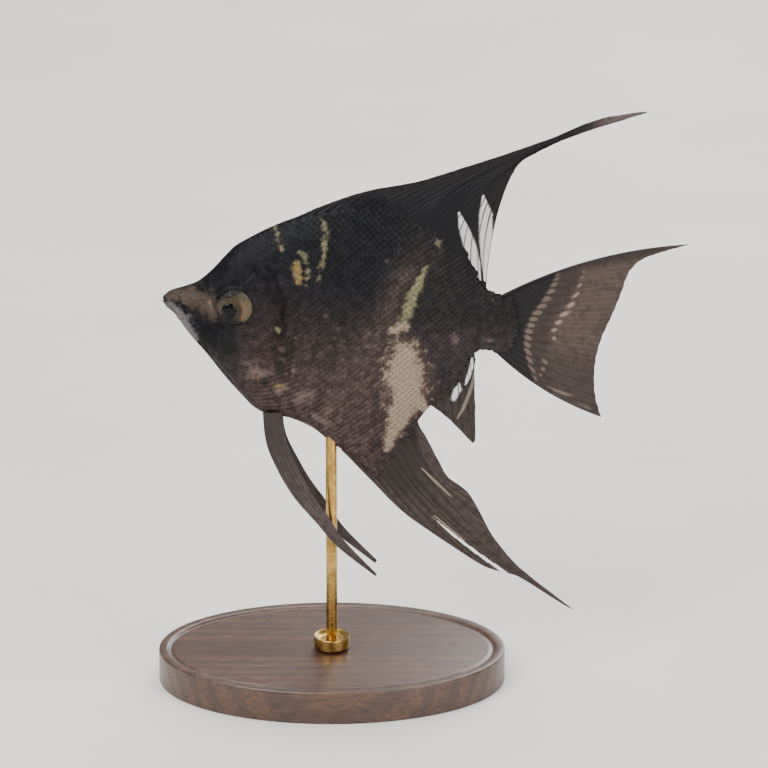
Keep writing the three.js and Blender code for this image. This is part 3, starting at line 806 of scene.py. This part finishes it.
# %% [markdown]
# The anal fin mirrors it below: a long front lobe that ends in a streamer, parted from its first
# strand by a slit, then a deep notch and a short rear lobe under the tail stalk.
# %% Anal fin
ANAL_RAYS = [
    (55.8, -40.2, 56, -41.4, 56.2, -42.4), (59.2, -42.6, 62, -47, 65.8, -51.2),
    (62.2, -43.6, 68, -52, 75.5, -60), (65.2, -43.8, 74, -56.6, 86, -66.8),
    (68.2, -43.2, 79, -59.5, 101.9, -75.8),
    (70.8, -42, 80.5, -58.4, 112.6, -78.5), (72.8, -39.2, 80.5, -59.5, 129.3, -87.4),
    (74.4, -36, 81.5, -52, 114, -77), (75.2, -34.4, 80.2, -48, 103.7, -66.5),
    (75.8, -33.4, 77.8, -45.6, 95.3, -53.6), (76.3, -32.4, 76.4, -40, 88.8, -49.1),
    (76.8, -31.5, 75.8, -36.5, 84.3, -42.4), (77.3, -30.4, 76, -33, 80.9, -36.9),
    (78, -29.2, 76.8, -31, 78.5, -33.8), (78.8, -27.9, 77.6, -29.4, 77.7, -31.6),
    (79.8, -26.3, 79.2, -27.3, 79, -28.6), (81.2, -24.2, 80.9, -25.3, 80.7, -26.4),
    (82.8, -22.2, 82.7, -24.8, 83.2, -27.5),
    (85, -18.8, 85.8, -25, 87.2, -30.4), (87.4, -14.6, 89, -26, 90.8, -33.6),
    (89.2, -11.6, 92, -25, 94.9, -36.8), (90.2, -9.4, 92.6, -20, 94.6, -29.7),
    (91.2, -7.8, 92.8, -14, 93.4, -21), (91.8, -7, 92.6, -9, 92.7, -10.6),
]
ANAL_PANELS = [
    [(91.9, -10.4, 0.5, 0.9), (92, -13, 0.8, 1), (91.2, -17, 0.8, 1), (90.6, -19, 0.6, 0.8)],
    [(88.2, -17.6, 0.9, 0.8), (88.6, -20.4, 1.5, 1), (87.6, -23.6, 1.3, 0.9)],
]
PALE_RAYS = [
    [(92.9, -14.7, 0.35, 0.8), (92.8, -18, 0.5, 1), (91.8, -22.4, 0.5, 1), (90.6, -26.6, 0.45, 1),
     (89.3, -29.6, 0.3, 0.8)],
    [(80.1, -45.8, 0.25, 0.7), (84.8, -50, 0.35, 0.9), (89.6, -54.3, 0.25, 0.7)],
    [(85.3, -60.6, 0.25, 0.8), (90.4, -64.6, 0.3, 0.9), (95, -67.8, 0.25, 0.6)],
]


def slit(s, t):
    """The gap between the front lobe and its first strand, a little behind the fourth main ray."""
    middle = (4.2 + 0.8 * np.clip(t - 0.5, 0, 1)) / (len(ANAL_RAYS) - 1)
    return np.abs(s - middle) < 0.0075 * smooth(0.42, 0.75, t)


anal = fan(
    "anal_fin_skin", lambda s, t: along_ray(ANAL_RAYS, s, t),
    lambda s, t: 0.6 * t * t * np.sin(math.pi * s), rays=30, columns=420, rows=90,
    thick=lambda s, t: 0.32 + 0.95 * (1 - t) ** 2.2, fray=0.012, gap=slit,
    tone=lambda s, t, spot: field(spot, PALE_RAYS), clear=lambda s, t, spot: 0.8 * field(spot, ANAL_PANELS),
    dusk=lambda s, t, spot: 0.3 * smooth(40, 30, -spot[:, 1]) * smooth(74, 84, spot[:, 0]))
wear(anal, anal_finish)
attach(anal, "root")
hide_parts("anal_fin")

# %% [markdown]
# The tail fin is a broad fan, black at its root and smoky beyond, with two rows of pale dots across
# its branched rays and a drawn-out upper corner.
# %% Tail fin
TAIL_RAYS = 19
TAIL_TIPS = path([
    (151.2, 29.4), (144, 26.6), (138.3, 23.7), (135, 19.5), (133.4, 13), (131.6, 6.5), (129.2, -1),
    (128.1, -8), (128.3, -15), (129.4, -20.5), (131.5, -25.9)])
tail_root = profile([[0, 0], [0.22, 0.08], [0.5, 0.4], [0.85, 0.84], [1, 1]])
tail_bow = profile([[0, 0.117], [0.22, 0.09], [0.5, 0.02], [0.8, -0.05], [1, -0.11]])
BAND = [
    (114.4, 17.5, 0.9, 0.8), (112.9, 12.6, 1.2, 0.95), (111, 8.6, 1.4, 1), (108.5, 4.2, 1.4, 1),
    (107.2, -0.9, 1.3, 1), (107.4, -5.5, 1.1, 1), (108.9, -10.6, 0.9, 0.9), (111.1, -15.4, 0.7, 0.7)]
TAIL_BANDS = [
    BAND,
    [(121.8, 19, 0.8, 0.5), (120.7, 13.2, 0.9, 0.55), (118.8, 7.9, 1, 0.62), (116.5, 4.1, 1, 0.7),
     (114.6, -0.2, 0.9, 0.62), (115.6, -3.8, 0.7, 0.5)],
    [(112.9, -8.4, 0.9, 0.8), (113.3, -10.7, 0.9, 0.85), (112.4, -13.9, 0.7, 0.7)],
    [(115, -17, 0.9, 0.66), (119.7, -19.4, 1, 0.62), (124.8, -21.7, 1, 0.66), (128, -23.2, 0.8, 0.6)],
]


def aside(way):
    """The direction a quarter turn to the left of each way."""
    return np.stack([-way[..., 1], way[..., 0]], -1)


def tail_place(s, t):
    root = np.stack([np.full(s.shape, 98.6), 9.4 - 17.2 * tail_root(s)], -1)
    leg = TAIL_TIPS(s) - root
    return root + leg * t[..., None] + aside(leg) * (2 * tail_bow(s) * t * (1 - t))[..., None]


def tail_tone(s, t, spot):
    """Rows of pale dots, one dot on each ray, and a paler middle."""
    dots = 0.45 + 0.55 * np.cos(2 * math.pi * TAIL_RAYS * s + 2.2 * np.sin(9 * t))
    rows_of_dots = 1.3 * field(spot, TAIL_BANDS) ** 1.2 * (0.3 + 0.7 * dots)
    return rows_of_dots + 0.3 * bump(spot[:, 0], 122, 5) * bump(spot[:, 1], 2, 9)


def tail_dusk(s, t, spot):
    """Black up to the first row of dots and along the top, dark between the rows, smoky below."""
    past = spot[:, 0] - np.interp(-spot[:, 1], [-p[1] for p in BAND], [p[0] for p in BAND])
    between = 0.55 * smooth(9, 4.5, past)
    below = 0.4 * smooth(0.62, 0.82, s)
    above = 0.55 * smooth(0.3, 0.06, s) * smooth(160, 136, spot[:, 0])
    margin = 0.8 * smooth(0.07, 0.02, s) * smooth(138, 112, spot[:, 0])
    return np.maximum.reduce([0.95 * smooth(1, -1.4, past), between, below, above, margin])


tail = fan(
    "tail_fin_skin", tail_place, lambda s, t: 0.8 * t * t, rays=TAIL_RAYS, columns=380, rows=110,
    thick=lambda s, t: 0.3 + 1.0 * (1 - t) ** 2.6, fray=0.008, tone=tail_tone, dusk=tail_dusk,
    clear=lambda s, t, spot: 0.26 * smooth(0.3, 0.6, t))
wear(tail, tail_finish)
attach(tail, "root")
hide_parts("tail_fin")

# %% [markdown]
# The pelvic fins are two long feelers, a spine with a few soft rays laid along it, and the pectoral
# fins are clear paddles behind the gill covers. Both come in pairs, so one loop over the sides makes
# them, and only the side differs.
# %% Feelers and paddles
FEELER = path([
    (35, -31.6), (36.2, -38.5), (38.5, -44.3), (44.8, -54.4), (51.8, -62.4), (58.4, -70), (69.6, -79)])
feeler_width = profile([[0, 5.6], [0.3, 5.6], [0.5, 4.8], [0.7, 3.2], [0.85, 2], [1, 0.5]])
feeler_spread = profile([[0, 1.4], [0.3, 2.3], [0.6, 2.9], [1, 3.2]])
PADDLE_TIPS = path([(47, 2.5), (57, 2), (62, -3), (61.5, -9), (56, -15.5), (48, -18.5), (42.5, -16)])
flank = float(half_thickness(38, -8)) * PERCENT / MM  # where the paddle roots


def feeler_place(s, t):
    way = FEELER(np.minimum(t + 0.02, 1)) - FEELER(np.maximum(t - 0.02, 0))
    way /= np.linalg.norm(way, axis=-1)[..., None]
    return FEELER(t) + aside(way) * ((s - 0.5) * feeler_width(t))[..., None]


def paddle_place(s, t):
    root = np.stack([np.full(s.shape, 37.6), -5.4 - 5.8 * s], -1)
    return root + (PADDLE_TIPS(s) - root) * t[..., None]


for side_name, sign in SIDES:
    feeler = fan(
        f"pelvic_fin_skin_{side_name}", feeler_place,
        lambda s, t: sign * (feeler_spread(t) + 0.5 * (s - 0.5)), rays=5, columns=60, rows=170,
        thick=lambda s, t: 0.35 + 0.75 * (1 - t) ** 1.2 * np.sin(math.pi * np.clip(s, 0.08, 0.92)),
        tone=lambda s, t, spot: 0.34 * bump(s, 0.35, 0.08) * smooth(0.05, 0.2, t))
    wear(feeler, feeler_finish)
    paddle = fan(
        f"pectoral_fin_skin_{side_name}", paddle_place,
        lambda s, t: sign * (flank - 0.1 + 5 * t - 0.8 * t * t), rays=11, columns=132, rows=50,
        thick=lambda s, t: 0.1 + 0.4 * (1 - t) ** 4, fray=0.03,
        clear=lambda s, t, spot: smooth(-0.05, 0.1, t))
    wear(paddle, clear_finish)
    for piece, node in ((feeler, "pelvic_fin"), (paddle, "pectoral_fin")):
        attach(piece, "root")
        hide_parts(f"{node}_{side_name}")

# %% [markdown]
# Scales lie like roof tiles: rooted under the row ahead, proud at the rounded rear edge. One scale is
# modelled as a small plate, and its copies are laid on the flank in staggered rows. Each copy's points
# are read from the body's own form, so every plate follows the curve beneath it. A map named OFBake
# gives each scale a patch of its own at its root's place on the unrolled skin.
# %% One scale
PLATE_THICK = 0.3  # in the plate's own units, before it is laid
start()
bpy.ops.mesh.primitive_grid_add(x_subdivisions=3, y_subdivisions=4, size=2)
plate = named("one_scale")
shape = points_of(plate.data)
run, wide = (shape[:, 0] + 1) / 2, shape[:, 1]
run = run * (1 - 0.4 * wide**2 * run)
wide = wide * (0.62 + 0.4 * np.sin(np.clip(run, 0, 1) * 2.2))
set_points(plate.data, np.column_stack([run, wide, np.zeros(len(run))]))
apply(plate, "SOLIDIFY", thickness=PLATE_THICK, offset=0)
outward(plate)
template = points_of(plate.data)
template_faces = np.array([list(p.vertices) for p in plate.data.polygons if len(p.vertices) == 4])
print("one scale:", len(template), "points,", len(template_faces), "faces")
bpy.data.objects.remove(plate)

# %% [markdown]
# Where scales go: rows about two percent apart from the nape and the gill cover to the root of the tail,
# smaller on the cheek, none on the snout, round the eye or along the gill opening. Towards the head
# and the tail the rows draw together, so they fan out from the gill cover as on the living fish. A
# few rows climb the bases of the fins and hide the step between body and fin.
# %% Laying the scales
rng = np.random.default_rng(11)
ROWS_MEET_AT = -3.0
FLANK_GAPS, CHEEK_GAPS = (1.9, 2.05), (1.7, 1.84)  # between rows and between columns
CHEEK_SCALE = 0.88  # beside a scale of the flank
FIRST_COLUMN, LAST_COLUMN, ROWS_EACH_WAY = 14.0, 118, 60
BARE_STRIP, PLACE_SCATTER = 2.3, 0.05  # the strip is behind the gill opening


def body_side(x, z):
    """Half the thickness of the fish at a place, body and fin bases together, in percent."""
    body = np.where((z < back(x)) & (z > belly(x)), half_thickness(np.clip(x, 0, 100), z), 0)
    off_body = np.maximum(np.clip(z - back(x), 0, None), np.clip(belly(x) - z, 0, None))
    fin = np.where(x > 98, 1.05 - 0.035 * np.clip(x - 99, 0, None), 1.0 - 0.07 * off_body)
    finned = np.where(z > widest_level(x), smooth(34, 46, x), smooth(56, 64, x))
    return np.maximum(body, 0) + finned * np.clip(fin, 0.25, None) * smooth(2.4, 0.0, body)


def closeness(x):
    """The spacing of the rows: one on the flank, less towards the head and the tail."""
    return 0.62 + 0.38 * smooth(20, 46, x) - 0.26 * smooth(66, 100, x)


def lay(gaps, inside):
    """Staggered columns of places for scales, from the head back, as far as they pass the test."""
    row_gap, column_gap = gaps
    columns, cx = [], FIRST_COLUMN
    while cx < LAST_COLUMN:
        near = float(closeness(cx))
        steps = np.arange(-ROWS_EACH_WAY, ROWS_EACH_WAY) + len(columns) % 2 / 2
        cz = ROWS_MEET_AT + near * row_gap * steps
        columns.append(np.column_stack([np.full(len(cz), cx), cz]))
        cx += near * column_gap / 2
    spots = np.vstack(columns)
    return spots[inside(*spots.T)]


def on_flank(x, z):
    """Where the body's scales lie: behind the gill opening, on the nape and on the bases of the fins."""
    past_gill = behind(np.column_stack([x, z]), GILL_EDGE) > BARE_STRIP
    nape = (z > 14.5) & (x + 0.9 * z > 41)
    body = (past_gill | nape) & (x > 20) & (x < 99) & (z < back(x) - 0.6) & (z > belly(x) + 0.5)
    over = 4.5 * smooth(46, 60, x) * smooth(94, 86, x)
    under = 4.5 * smooth(60, 68, x) * smooth(76, 71, x) + 2.4 * smooth(83, 86, x) * smooth(91, 88, x)
    dorsal_base = (x > 47) & (x < 93) & (z >= back(x) - 0.6) & (z < back(x) - 0.6 + over)
    anal_base = (x > 60) & (x < 90) & (z <= belly(x) + 0.5) & (z > belly(x) - under)
    tail_base = (x >= 99) & (x < 103.5 - 0.03 * (z - 0.5) ** 2) & (np.abs(z - 0.8) < 8 + 0.3 * (x - 99))
    return body | dorsal_base | anal_base | tail_base


def on_cheek(x, z):
    """Where the cheek's scales lie: below and behind the eye, clear of the gill opening and the jaw."""
    r = np.hypot(x - EYE_AT[0], z - EYE_AT[1])
    gap = behind(np.column_stack([x, z]), GILL_EDGE)
    whole = (z < 13) & (z > belly(x) + 2.5) & (z < back(x) - 2) & (x + 0.8 * z < 36) & (x - 0.75 * z > 17)
    return (gap < -1.9) & (r > 8.2) & (x > 17) & whole


coats = []
for part, laid, scale_size in (
    ("body", lay(FLANK_GAPS, on_flank), 1.0), ("cheek", lay(CHEEK_GAPS, on_cheek), CHEEK_SCALE),
):
    size = scale_size * closeness(laid[:, 0])
    coats.append((part, laid + rng.normal(size=laid.shape) * PLACE_SCATTER * size[:, None], size))
    print(len(laid), part, "scales on each side")

# %% [markdown]
# The scales of each side's body and cheek become a mesh each: the plate's points are set down at every
# place at once. A scale points to the tail and turns a little with the rows near it. In the arrays
# below each row is a scale and each column a point of the plate.
# %% Building the coat
SCALE_LENGTH, SCALE_HALF_WIDTH = 3.15, 1.12
SUNK, RISE, RISE_SCATTER, HALF_PLATE = -0.13, 0.1, 0.006, 0.035  # millimetres
TURN_SCATTER = 0.03
INSIDE_OUTLINE = 0.12
MAP_START, MAP_STRETCH, MAP_HEIGHT = 0.02, 125, 0.46
PATCH_LENGTH, PATCH_HALF_WIDTH = 0.003, 0.0013


def slope(curve, x):
    return (curve(x + 1) - curve(x - 1)) / 2


def surface(x, z, sign):
    """Points on the fish's side and the outward direction there."""
    step = 0.15
    middle = world(x, z, sign * body_side(x, z) * PERCENT)
    ahead = world(x + step, z, sign * body_side(x + step, z) * PERCENT)
    above = world(x, z + step, sign * body_side(x, z + step) * PERCENT)
    out = np.cross(ahead - middle, above - middle) * -1
    out /= np.linalg.norm(out, axis=-1)[..., None]
    return middle, out * np.where(out[..., 1:2] * sign < 0, -1, 1)


def mesh_of_plates(name, points, faces):
    """A mesh from arrays of points and four-cornered faces."""
    mesh = bpy.data.meshes.new(name)
    mesh.vertices.add(len(points))
    mesh.vertices.foreach_set("co", points.ravel())
    mesh.loops.add(faces.size)
    mesh.loops.foreach_set("vertex_index", faces.ravel())
    mesh.polygons.add(len(faces))
    mesh.polygons.foreach_set("loop_start", np.arange(0, faces.size, 4))
    mesh.update(calc_edges=True)
    mesh.validate()
    return mesh


def coat(name, sign, spots, size):
    """The scales at these spots as one piece: sign is -1 on the left side and 1 on the right."""
    cx, cz, size = spots[:, :1], spots[:, 1:], size[:, None]
    back_to, across, through = template.T
    height = np.clip((cz - belly(cx)) / (back(cx) - belly(cx)), 0, 1)
    tilt = np.arctan((cz - ROWS_MEET_AT) * slope(closeness, cx) / closeness(cx))
    tilt = tilt * smooth(102, 92, cx) + rng.normal(size=cx.shape) * TURN_SCATTER
    a = SCALE_LENGTH * size * (back_to - 0.5)
    b = SCALE_HALF_WIDTH * size * across
    px = cx + a * np.cos(tilt) - b * np.sin(tilt)
    pz = cz + a * np.sin(tilt) + b * np.cos(tilt)
    on_tail = 30 * (px > 98)
    over = 6 * smooth(45, 58, px) * smooth(95, 90, px) + on_tail
    under = 6 * smooth(59, 66, px) * smooth(77.5, 73, px) + 4 * smooth(82, 85, px) * smooth(92, 88, px)
    under = under + on_tail
    pz = np.clip(pz, belly(px) - under + INSIDE_OUTLINE, back(px) + over - INSIDE_OUTLINE)
    foot, out = surface(px, pz, sign)
    rise = RISE * np.sqrt(size) * smooth(106, 97, cx) + rng.normal(size=cx.shape) * RISE_SCATTER
    lift = SUNK + rise * back_to * (1 - 0.3 * across**2) + through / PLATE_THICK * HALF_PLATE
    points = (foot + out * (lift * MM)[..., None]).reshape(-1, 3)
    count, per = px.shape
    faces = (template_faces[None] + per * np.arange(count)[:, None, None]).reshape(-1, 4)
    mesh = mesh_of_plates(name, points, faces)
    piece = bpy.data.objects.new(name, mesh)
    bpy.context.collection.objects.link(piece)
    paint_marks(mesh, (0.7 * np.stack([px, pz], -1) + 0.3 * spots[:, None]).reshape(-1, 2))
    keep(mesh, "rim", np.tile(back_to, count))
    keep(mesh, "across", np.tile(across, count))
    speckled = np.maximum(0.35 * smooth(8, -18, cz) * smooth(30, 38, cx) * smooth(72, 60, cx), 0.003)
    mood = np.where(rng.uniform(size=cx.shape) < speckled, rng.uniform(0.4, 1, cx.shape), 0)
    keep(mesh, "mood", np.repeat(mood, per))
    middle_v = 0.25 if sign < 0 else 0.75
    u = MAP_START + cx / MAP_STRETCH + (back_to - 0.5) * PATCH_LENGTH
    v = middle_v + (height - 0.5) * MAP_HEIGHT + across * PATCH_HALF_WIDTH
    bake_map = np.column_stack([u.ravel(), v.ravel()])
    mesh.uv_layers.new(name="OFBake").data.foreach_set("uv", bake_map[faces.ravel()].ravel())
    outward(piece)
    soften(piece)
    wear(piece, scale_finish)
    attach(piece, "root")
    print(name, len(mesh.polygons), "faces")


for part, spots, size in coats:
    for side_name, sign in SIDES:
        coat(f"scales_{part}_{side_name}", sign, spots, size)

# %% [markdown]
# The eye is large, round and a little proud, and the skin closes on it without a gap. Its iris is dull
# gold, brighter behind the pupil, tan in front and dark above and below, and the pupil's lens fills
# it and pushes out. Three pieces make each eye: a bowl for the iris, a dark lens, and a thin clear cover
# that carries the wet highlight.
# %% Eyes
EYE_RADIUS, EYE_DEPTH, EYE_BULGE, PUPIL = 3.36, 1.3, 0.75, 1.4  # millimetres
BOWL_SHARE, LENS_SHARE, LENS_OUT = 0.86, 0.34, 0.58  # of the eye's depth
DISH_DEPTH = 0.16
PUPIL_AT = (20.1, 0.8)


def eyeball(name, radius, depth, centre, segments=64, rings=32):
    start()
    bpy.ops.mesh.primitive_uv_sphere_add(
        segments=segments, ring_count=rings, radius=1, rotation=(math.pi / 2, 0, 0))
    ball = settle(named(name))
    set_points(ball.data, points_of(ball.data) * np.array([radius, depth, radius]) * MM + centre)
    soften(ball)
    return ball


def iris_finish():
    r = Recipe("eye_iris", Roughness=0.5, Specular_IOR_Level=0.12, Coat_Weight=0.02, Coat_Roughness=0.2)
    out, rear, up, ring = (r.value(name) for name in ("out", "rear", "up", "ring"))
    fine = r.noise(4, 4)
    wave = r.swing(fine, 0.7)
    spokes = r.waves(0.9, 6, wave_type="BANDS")
    gold = r.tones(fine, (54, 47, 35), (70, 60, 42), 0.38, 0.62)
    orange = r.tones(fine, (118, 88, 64), (96, 74, 55))
    straw = r.tones(fine, (99, 87, 66), (82, 73, 56))
    maroon = r.tones(fine, (42, 28, 27), (32, 24, 24))
    tan = r.tones(fine, (80, 68, 54), (60, 52, 43))
    dark = r.tones(fine, (30, 25, 25), (20, 19, 20))
    behind_pupil = r.plus(rear, wave)
    zone = r.plus(ring, r.times(wave, 0.3))
    warm = r.mix(r.ramp(zone, 0.72, 0.92), orange, straw)
    warm = r.mix(r.ramp(zone, 0.78, 0.5), warm, maroon)
    warm = r.mix(r.ramp(up, 0.2, 0.6, 0, 0.4), warm, dark)
    r.base = r.mix(r.ramp(behind_pupil, 0, 0.3), gold, warm)
    r.paint(r.ramp(behind_pupil, -0.4, -0.75), tan)
    r.paint(r.ramp(spokes, 0.3, 0.9, 0, 0.2), srgb(56, 47, 34))
    rim = r.mix(r.ramp(rear, 0, 0.5), srgb(58, 50, 43), srgb(64, 67, 54))
    r.paint(r.ramp(r.plus(out, r.times(wave, 0.2)), 0.84, 0.92), rim)
    tilt = r.plus(wave, r.times(rear, -0.4))
    r.paint(r.ramp(r.plus(up, tilt), 0.6, 0.95), dark)
    r.paint(r.ramp(r.math("SUBTRACT", tilt, up), 0.3, 0.68), dark)
    r.bump(r.plus(fine, spokes), 0.12, 0.02)
    return r.finish()


def lens_finish():
    r = Recipe("eye_lens", Roughness=0.15, Specular_IOR_Level=0.15, Coat_Weight=0.05, Coat_Roughness=0.1)
    r.base = r.tones(r.noise(2, 2), (4, 4, 5), (9, 9, 11), 0.4, 0.7)
    return r.finish()


def cover_finish():
    r = Recipe("eye_cover", Roughness=0.1, Specular_IOR_Level=0.25, Coat_Weight=0.2, Coat_Roughness=0.05)
    r.base = r.mix(r.noise(2, 2), srgb(6, 6, 7), srgb(14, 14, 15))
    return r.finish(Alpha=r.ramp(r.noise(1.5, 2), 0.3, 0.7, 0.05, 0.08))


iris, lens, cover = iris_finish(), lens_finish(), cover_finish()
eye_out = float(half_thickness(*EYE_AT)) * PERCENT / MM + EYE_BULGE - EYE_DEPTH
for side_name, sign in SIDES:
    centre = world(*EYE_AT, sign * eye_out * MM)
    bowl = eyeball(f"eye_iris_{side_name}", EYE_RADIUS, BOWL_SHARE * EYE_DEPTH, centre)
    moved = points_of(bowl.data)
    spot = moved - centre
    rear, up = spot[:, 0] / (EYE_RADIUS * MM), spot[:, 2] / (EYE_RADIUS * MM)
    reach = np.hypot(rear, up)
    dish = DISH_DEPTH * smooth(0.85, 0.5, reach) * (spot[:, 1] * sign > 0)
    moved[:, 1] -= sign * dish * MM
    set_points(bowl.data, moved)
    pupil_from = world(*PUPIL_AT, 0) - world(*EYE_AT, 0)
    ring = np.hypot(spot[:, 0] - pupil_from[0], spot[:, 2] - pupil_from[2]) / (EYE_RADIUS * MM)
    for value, values in (("out", reach), ("rear", rear), ("up", up), ("ring", ring)):
        keep(bowl.data, value, values)
    wear(bowl, iris)
    pupil_at = world(*PUPIL_AT, sign * (eye_out + LENS_OUT * EYE_DEPTH) * MM)
    pupil = eyeball(f"eye_lens_{side_name}", PUPIL, LENS_SHARE * EYE_DEPTH, pupil_at, 48, 24)
    wear(pupil, lens)
    glass = eyeball(f"eye_cover_{side_name}", EYE_RADIUS + 0.05, EYE_DEPTH, centre)
    wear(glass, cover)
    for piece in (bowl, pupil, glass):
        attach(piece, "root")
    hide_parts(f"eye_{side_name}")
    print("eye", side_name, "centre", np.round(1000 * centre, 2))

# %% [markdown]
# Oiled wood shows long grain with darker pores in it; brass shows fine turning marks. Both patterns
# are drawn in object coordinates, stretched along the grain or round the axis.
# %% Stand finishes


def wood():
    r = Recipe("dark_wood", Roughness=0.4, Coat_Weight=0.35, Coat_Roughness=0.2)
    r.stretch((0.12, 1, 1))
    grain, pores, broad = r.noise(2.4, 6, 0.65), r.noise(9, 3), r.noise(0.35, 3)
    rings = r.waves(0.13, 5, 3, wave_type="RINGS", rings_direction="X")
    r.base = r.tones(grain, (52, 32, 22), (96, 62, 40), 0.3, 0.7)
    r.paint(r.ramp(rings, 0.3, 0.9, 0, 0.5), srgb(44, 27, 19))
    r.paint(r.ramp(broad, 0.4, 0.7, 0, 0.35), srgb(36, 22, 16))
    r.bump(r.plus(grain, pores), 0.25, 0.05)
    return r.finish(Roughness=r.ramp(pores, 0.3, 0.7, 0.3, 0.5))


def brass():
    r = Recipe("aged_brass", Metallic=1.0, Roughness=0.3)
    r.base = r.tones(r.noise(0.6, 4), (196, 162, 92), (148, 116, 62), 0.35, 0.7)
    r.stretch((1, 1, 12))
    lines = r.noise(1.2, 3)
    r.bump(lines, 0.2, 0.03)
    return r.finish(Roughness=r.ramp(lines, 0.3, 0.7, 0.2, 0.42))


wood_finish, brass_finish = wood(), brass()
print("wood and brass made")

# %% [markdown]
# The stand is a turned oval foot of dark wood with a brass collar and rod. Each starts as a cylinder
# at its solid's own size; its top face is inset and dropped in steps to leave a bead or a cup, and a
# bevel rounds every edge, as a moulding cutter would.
# %% Stand


def turned(name, node, sides):
    low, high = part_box(node)
    start()
    bpy.ops.mesh.primitive_cylinder_add(
        vertices=sides, radius=0.5, depth=1, location=(low + high) / 2, scale=high - low)
    return settle(named(name))


def mould_top(piece, steps):
    """Insets the top face by each step's width, then moves it up by the step's rise, in millimetres."""
    pick_faces(piece, lambda face: face.normal.z > 0.9)
    for width, rise in steps:
        bpy.ops.mesh.inset(thickness=width * MM)
        bpy.ops.transform.translate(value=(0, 0, rise * MM))
    mode("OBJECT")


def round_edges(piece, width, segments, from_degrees):
    apply(
        piece, "BEVEL", width=width * MM, segments=segments, limit_method="ANGLE",
        angle_limit=math.radians(from_degrees))
    bpy.ops.object.shade_smooth_by_angle(angle=math.radians(40))


foot = turned("stand_foot", "stand_base", 128)
mould_top(foot, ((1.6, 0), (0.5, -0.55), (0.5, 0.35)))
round_edges(foot, 0.5, 4, 20)
collar = turned("stand_ring", "stand_collar", 64)
mould_top(collar, ((0.9, -0.9),))
round_edges(collar, 0.35, 4, 20)
pin = turned("stand_pin", "stand_rod", 48)
round_edges(pin, 0.2, 3, 40)
for piece, node, finish_of, slot in (
    (foot, "stand_base", wood_finish, "stand_wood"), (collar, "stand_collar", brass_finish, "stand_brass"),
    (pin, "stand_rod", brass_finish, "stand_brass"),
):
    wear(piece, finish_of)
    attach(piece, "root")
    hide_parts(node)
    print(piece.name, len(piece.data.polygons), "faces")

# %% [markdown]
# A pale floor and soft light from above and from both sides show a dark fish without hard shadows.
# The camera looks straight at the left side from twenty degrees above, through a long lens.
# %% Floor, light and camera
start()
bpy.ops.mesh.primitive_plane_add(size=6, location=(0, 1.2, 0))
floor = settle(named("floor"))


def paper():
    r = Recipe("pale_floor", Roughness=0.8)
    r.base = r.tones(r.noise(0.02, 3), (222, 219, 214), (214, 211, 206), 0.3, 0.7)
    return r.finish()


wear(floor, paper())
floor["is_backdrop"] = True


def lamp(name, place, energy, size, target):
    start()
    bpy.ops.object.light_add(type="AREA", location=place)
    light = bpy.context.object
    light.name = name
    light.data.energy = energy
    light.data.size = size
    light.rotation_mode = "QUATERNION"
    light.rotation_quaternion = (Vector(target) - Vector(place)).to_track_quat("-Z", "Y")


aim = np.array([snout[0] + 0.0389, 0, 0.0561])  # the middle of the model, as it is framed
lamp("key", (-0.35, -0.45, 0.6), 8, 0.5, aim)
lamp("fill", (0.5, -0.5, 0.3), 4, 0.6, aim)
lamp("top", (0.0, 0.15, 0.8), 6, 0.7, aim)
lamp("back", (0.3, 0.6, 0.4), 4, 0.5, aim)
studio = bpy.data.worlds.new("studio")
bpy.context.scene.world = studio
studio.use_nodes = True
sky = studio.node_tree.nodes["Background"].inputs
sky["Color"].default_value = (0.9, 0.92, 0.95, 1)
sky["Strength"].default_value = 0.45

ELEVATION, AWAY = math.radians(20), 0.9
LENS, SENSOR = 239.8, 36  # millimetres
start()
bpy.ops.object.camera_add(
    location=(aim[0], -AWAY * math.cos(ELEVATION), aim[2] + AWAY * math.sin(ELEVATION)),
    rotation=(math.pi / 2 - ELEVATION, 0, 0))
camera = bpy.context.object
camera.name = "camera"
camera.data.lens, camera.data.sensor_width = LENS, SENSOR
camera.data.clip_start, camera.data.clip_end = 0.01, 20
bpy.context.scene.camera = camera
print("camera at", [round(v, 3) for v in camera.location])

# %% [markdown]
# Last, the size: the finished model's box is printed, in millimetres.
# %% Sizes and the end
low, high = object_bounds()
print("finished", [round(1000 * v, 1) for v in (*low, *high)], "mm")
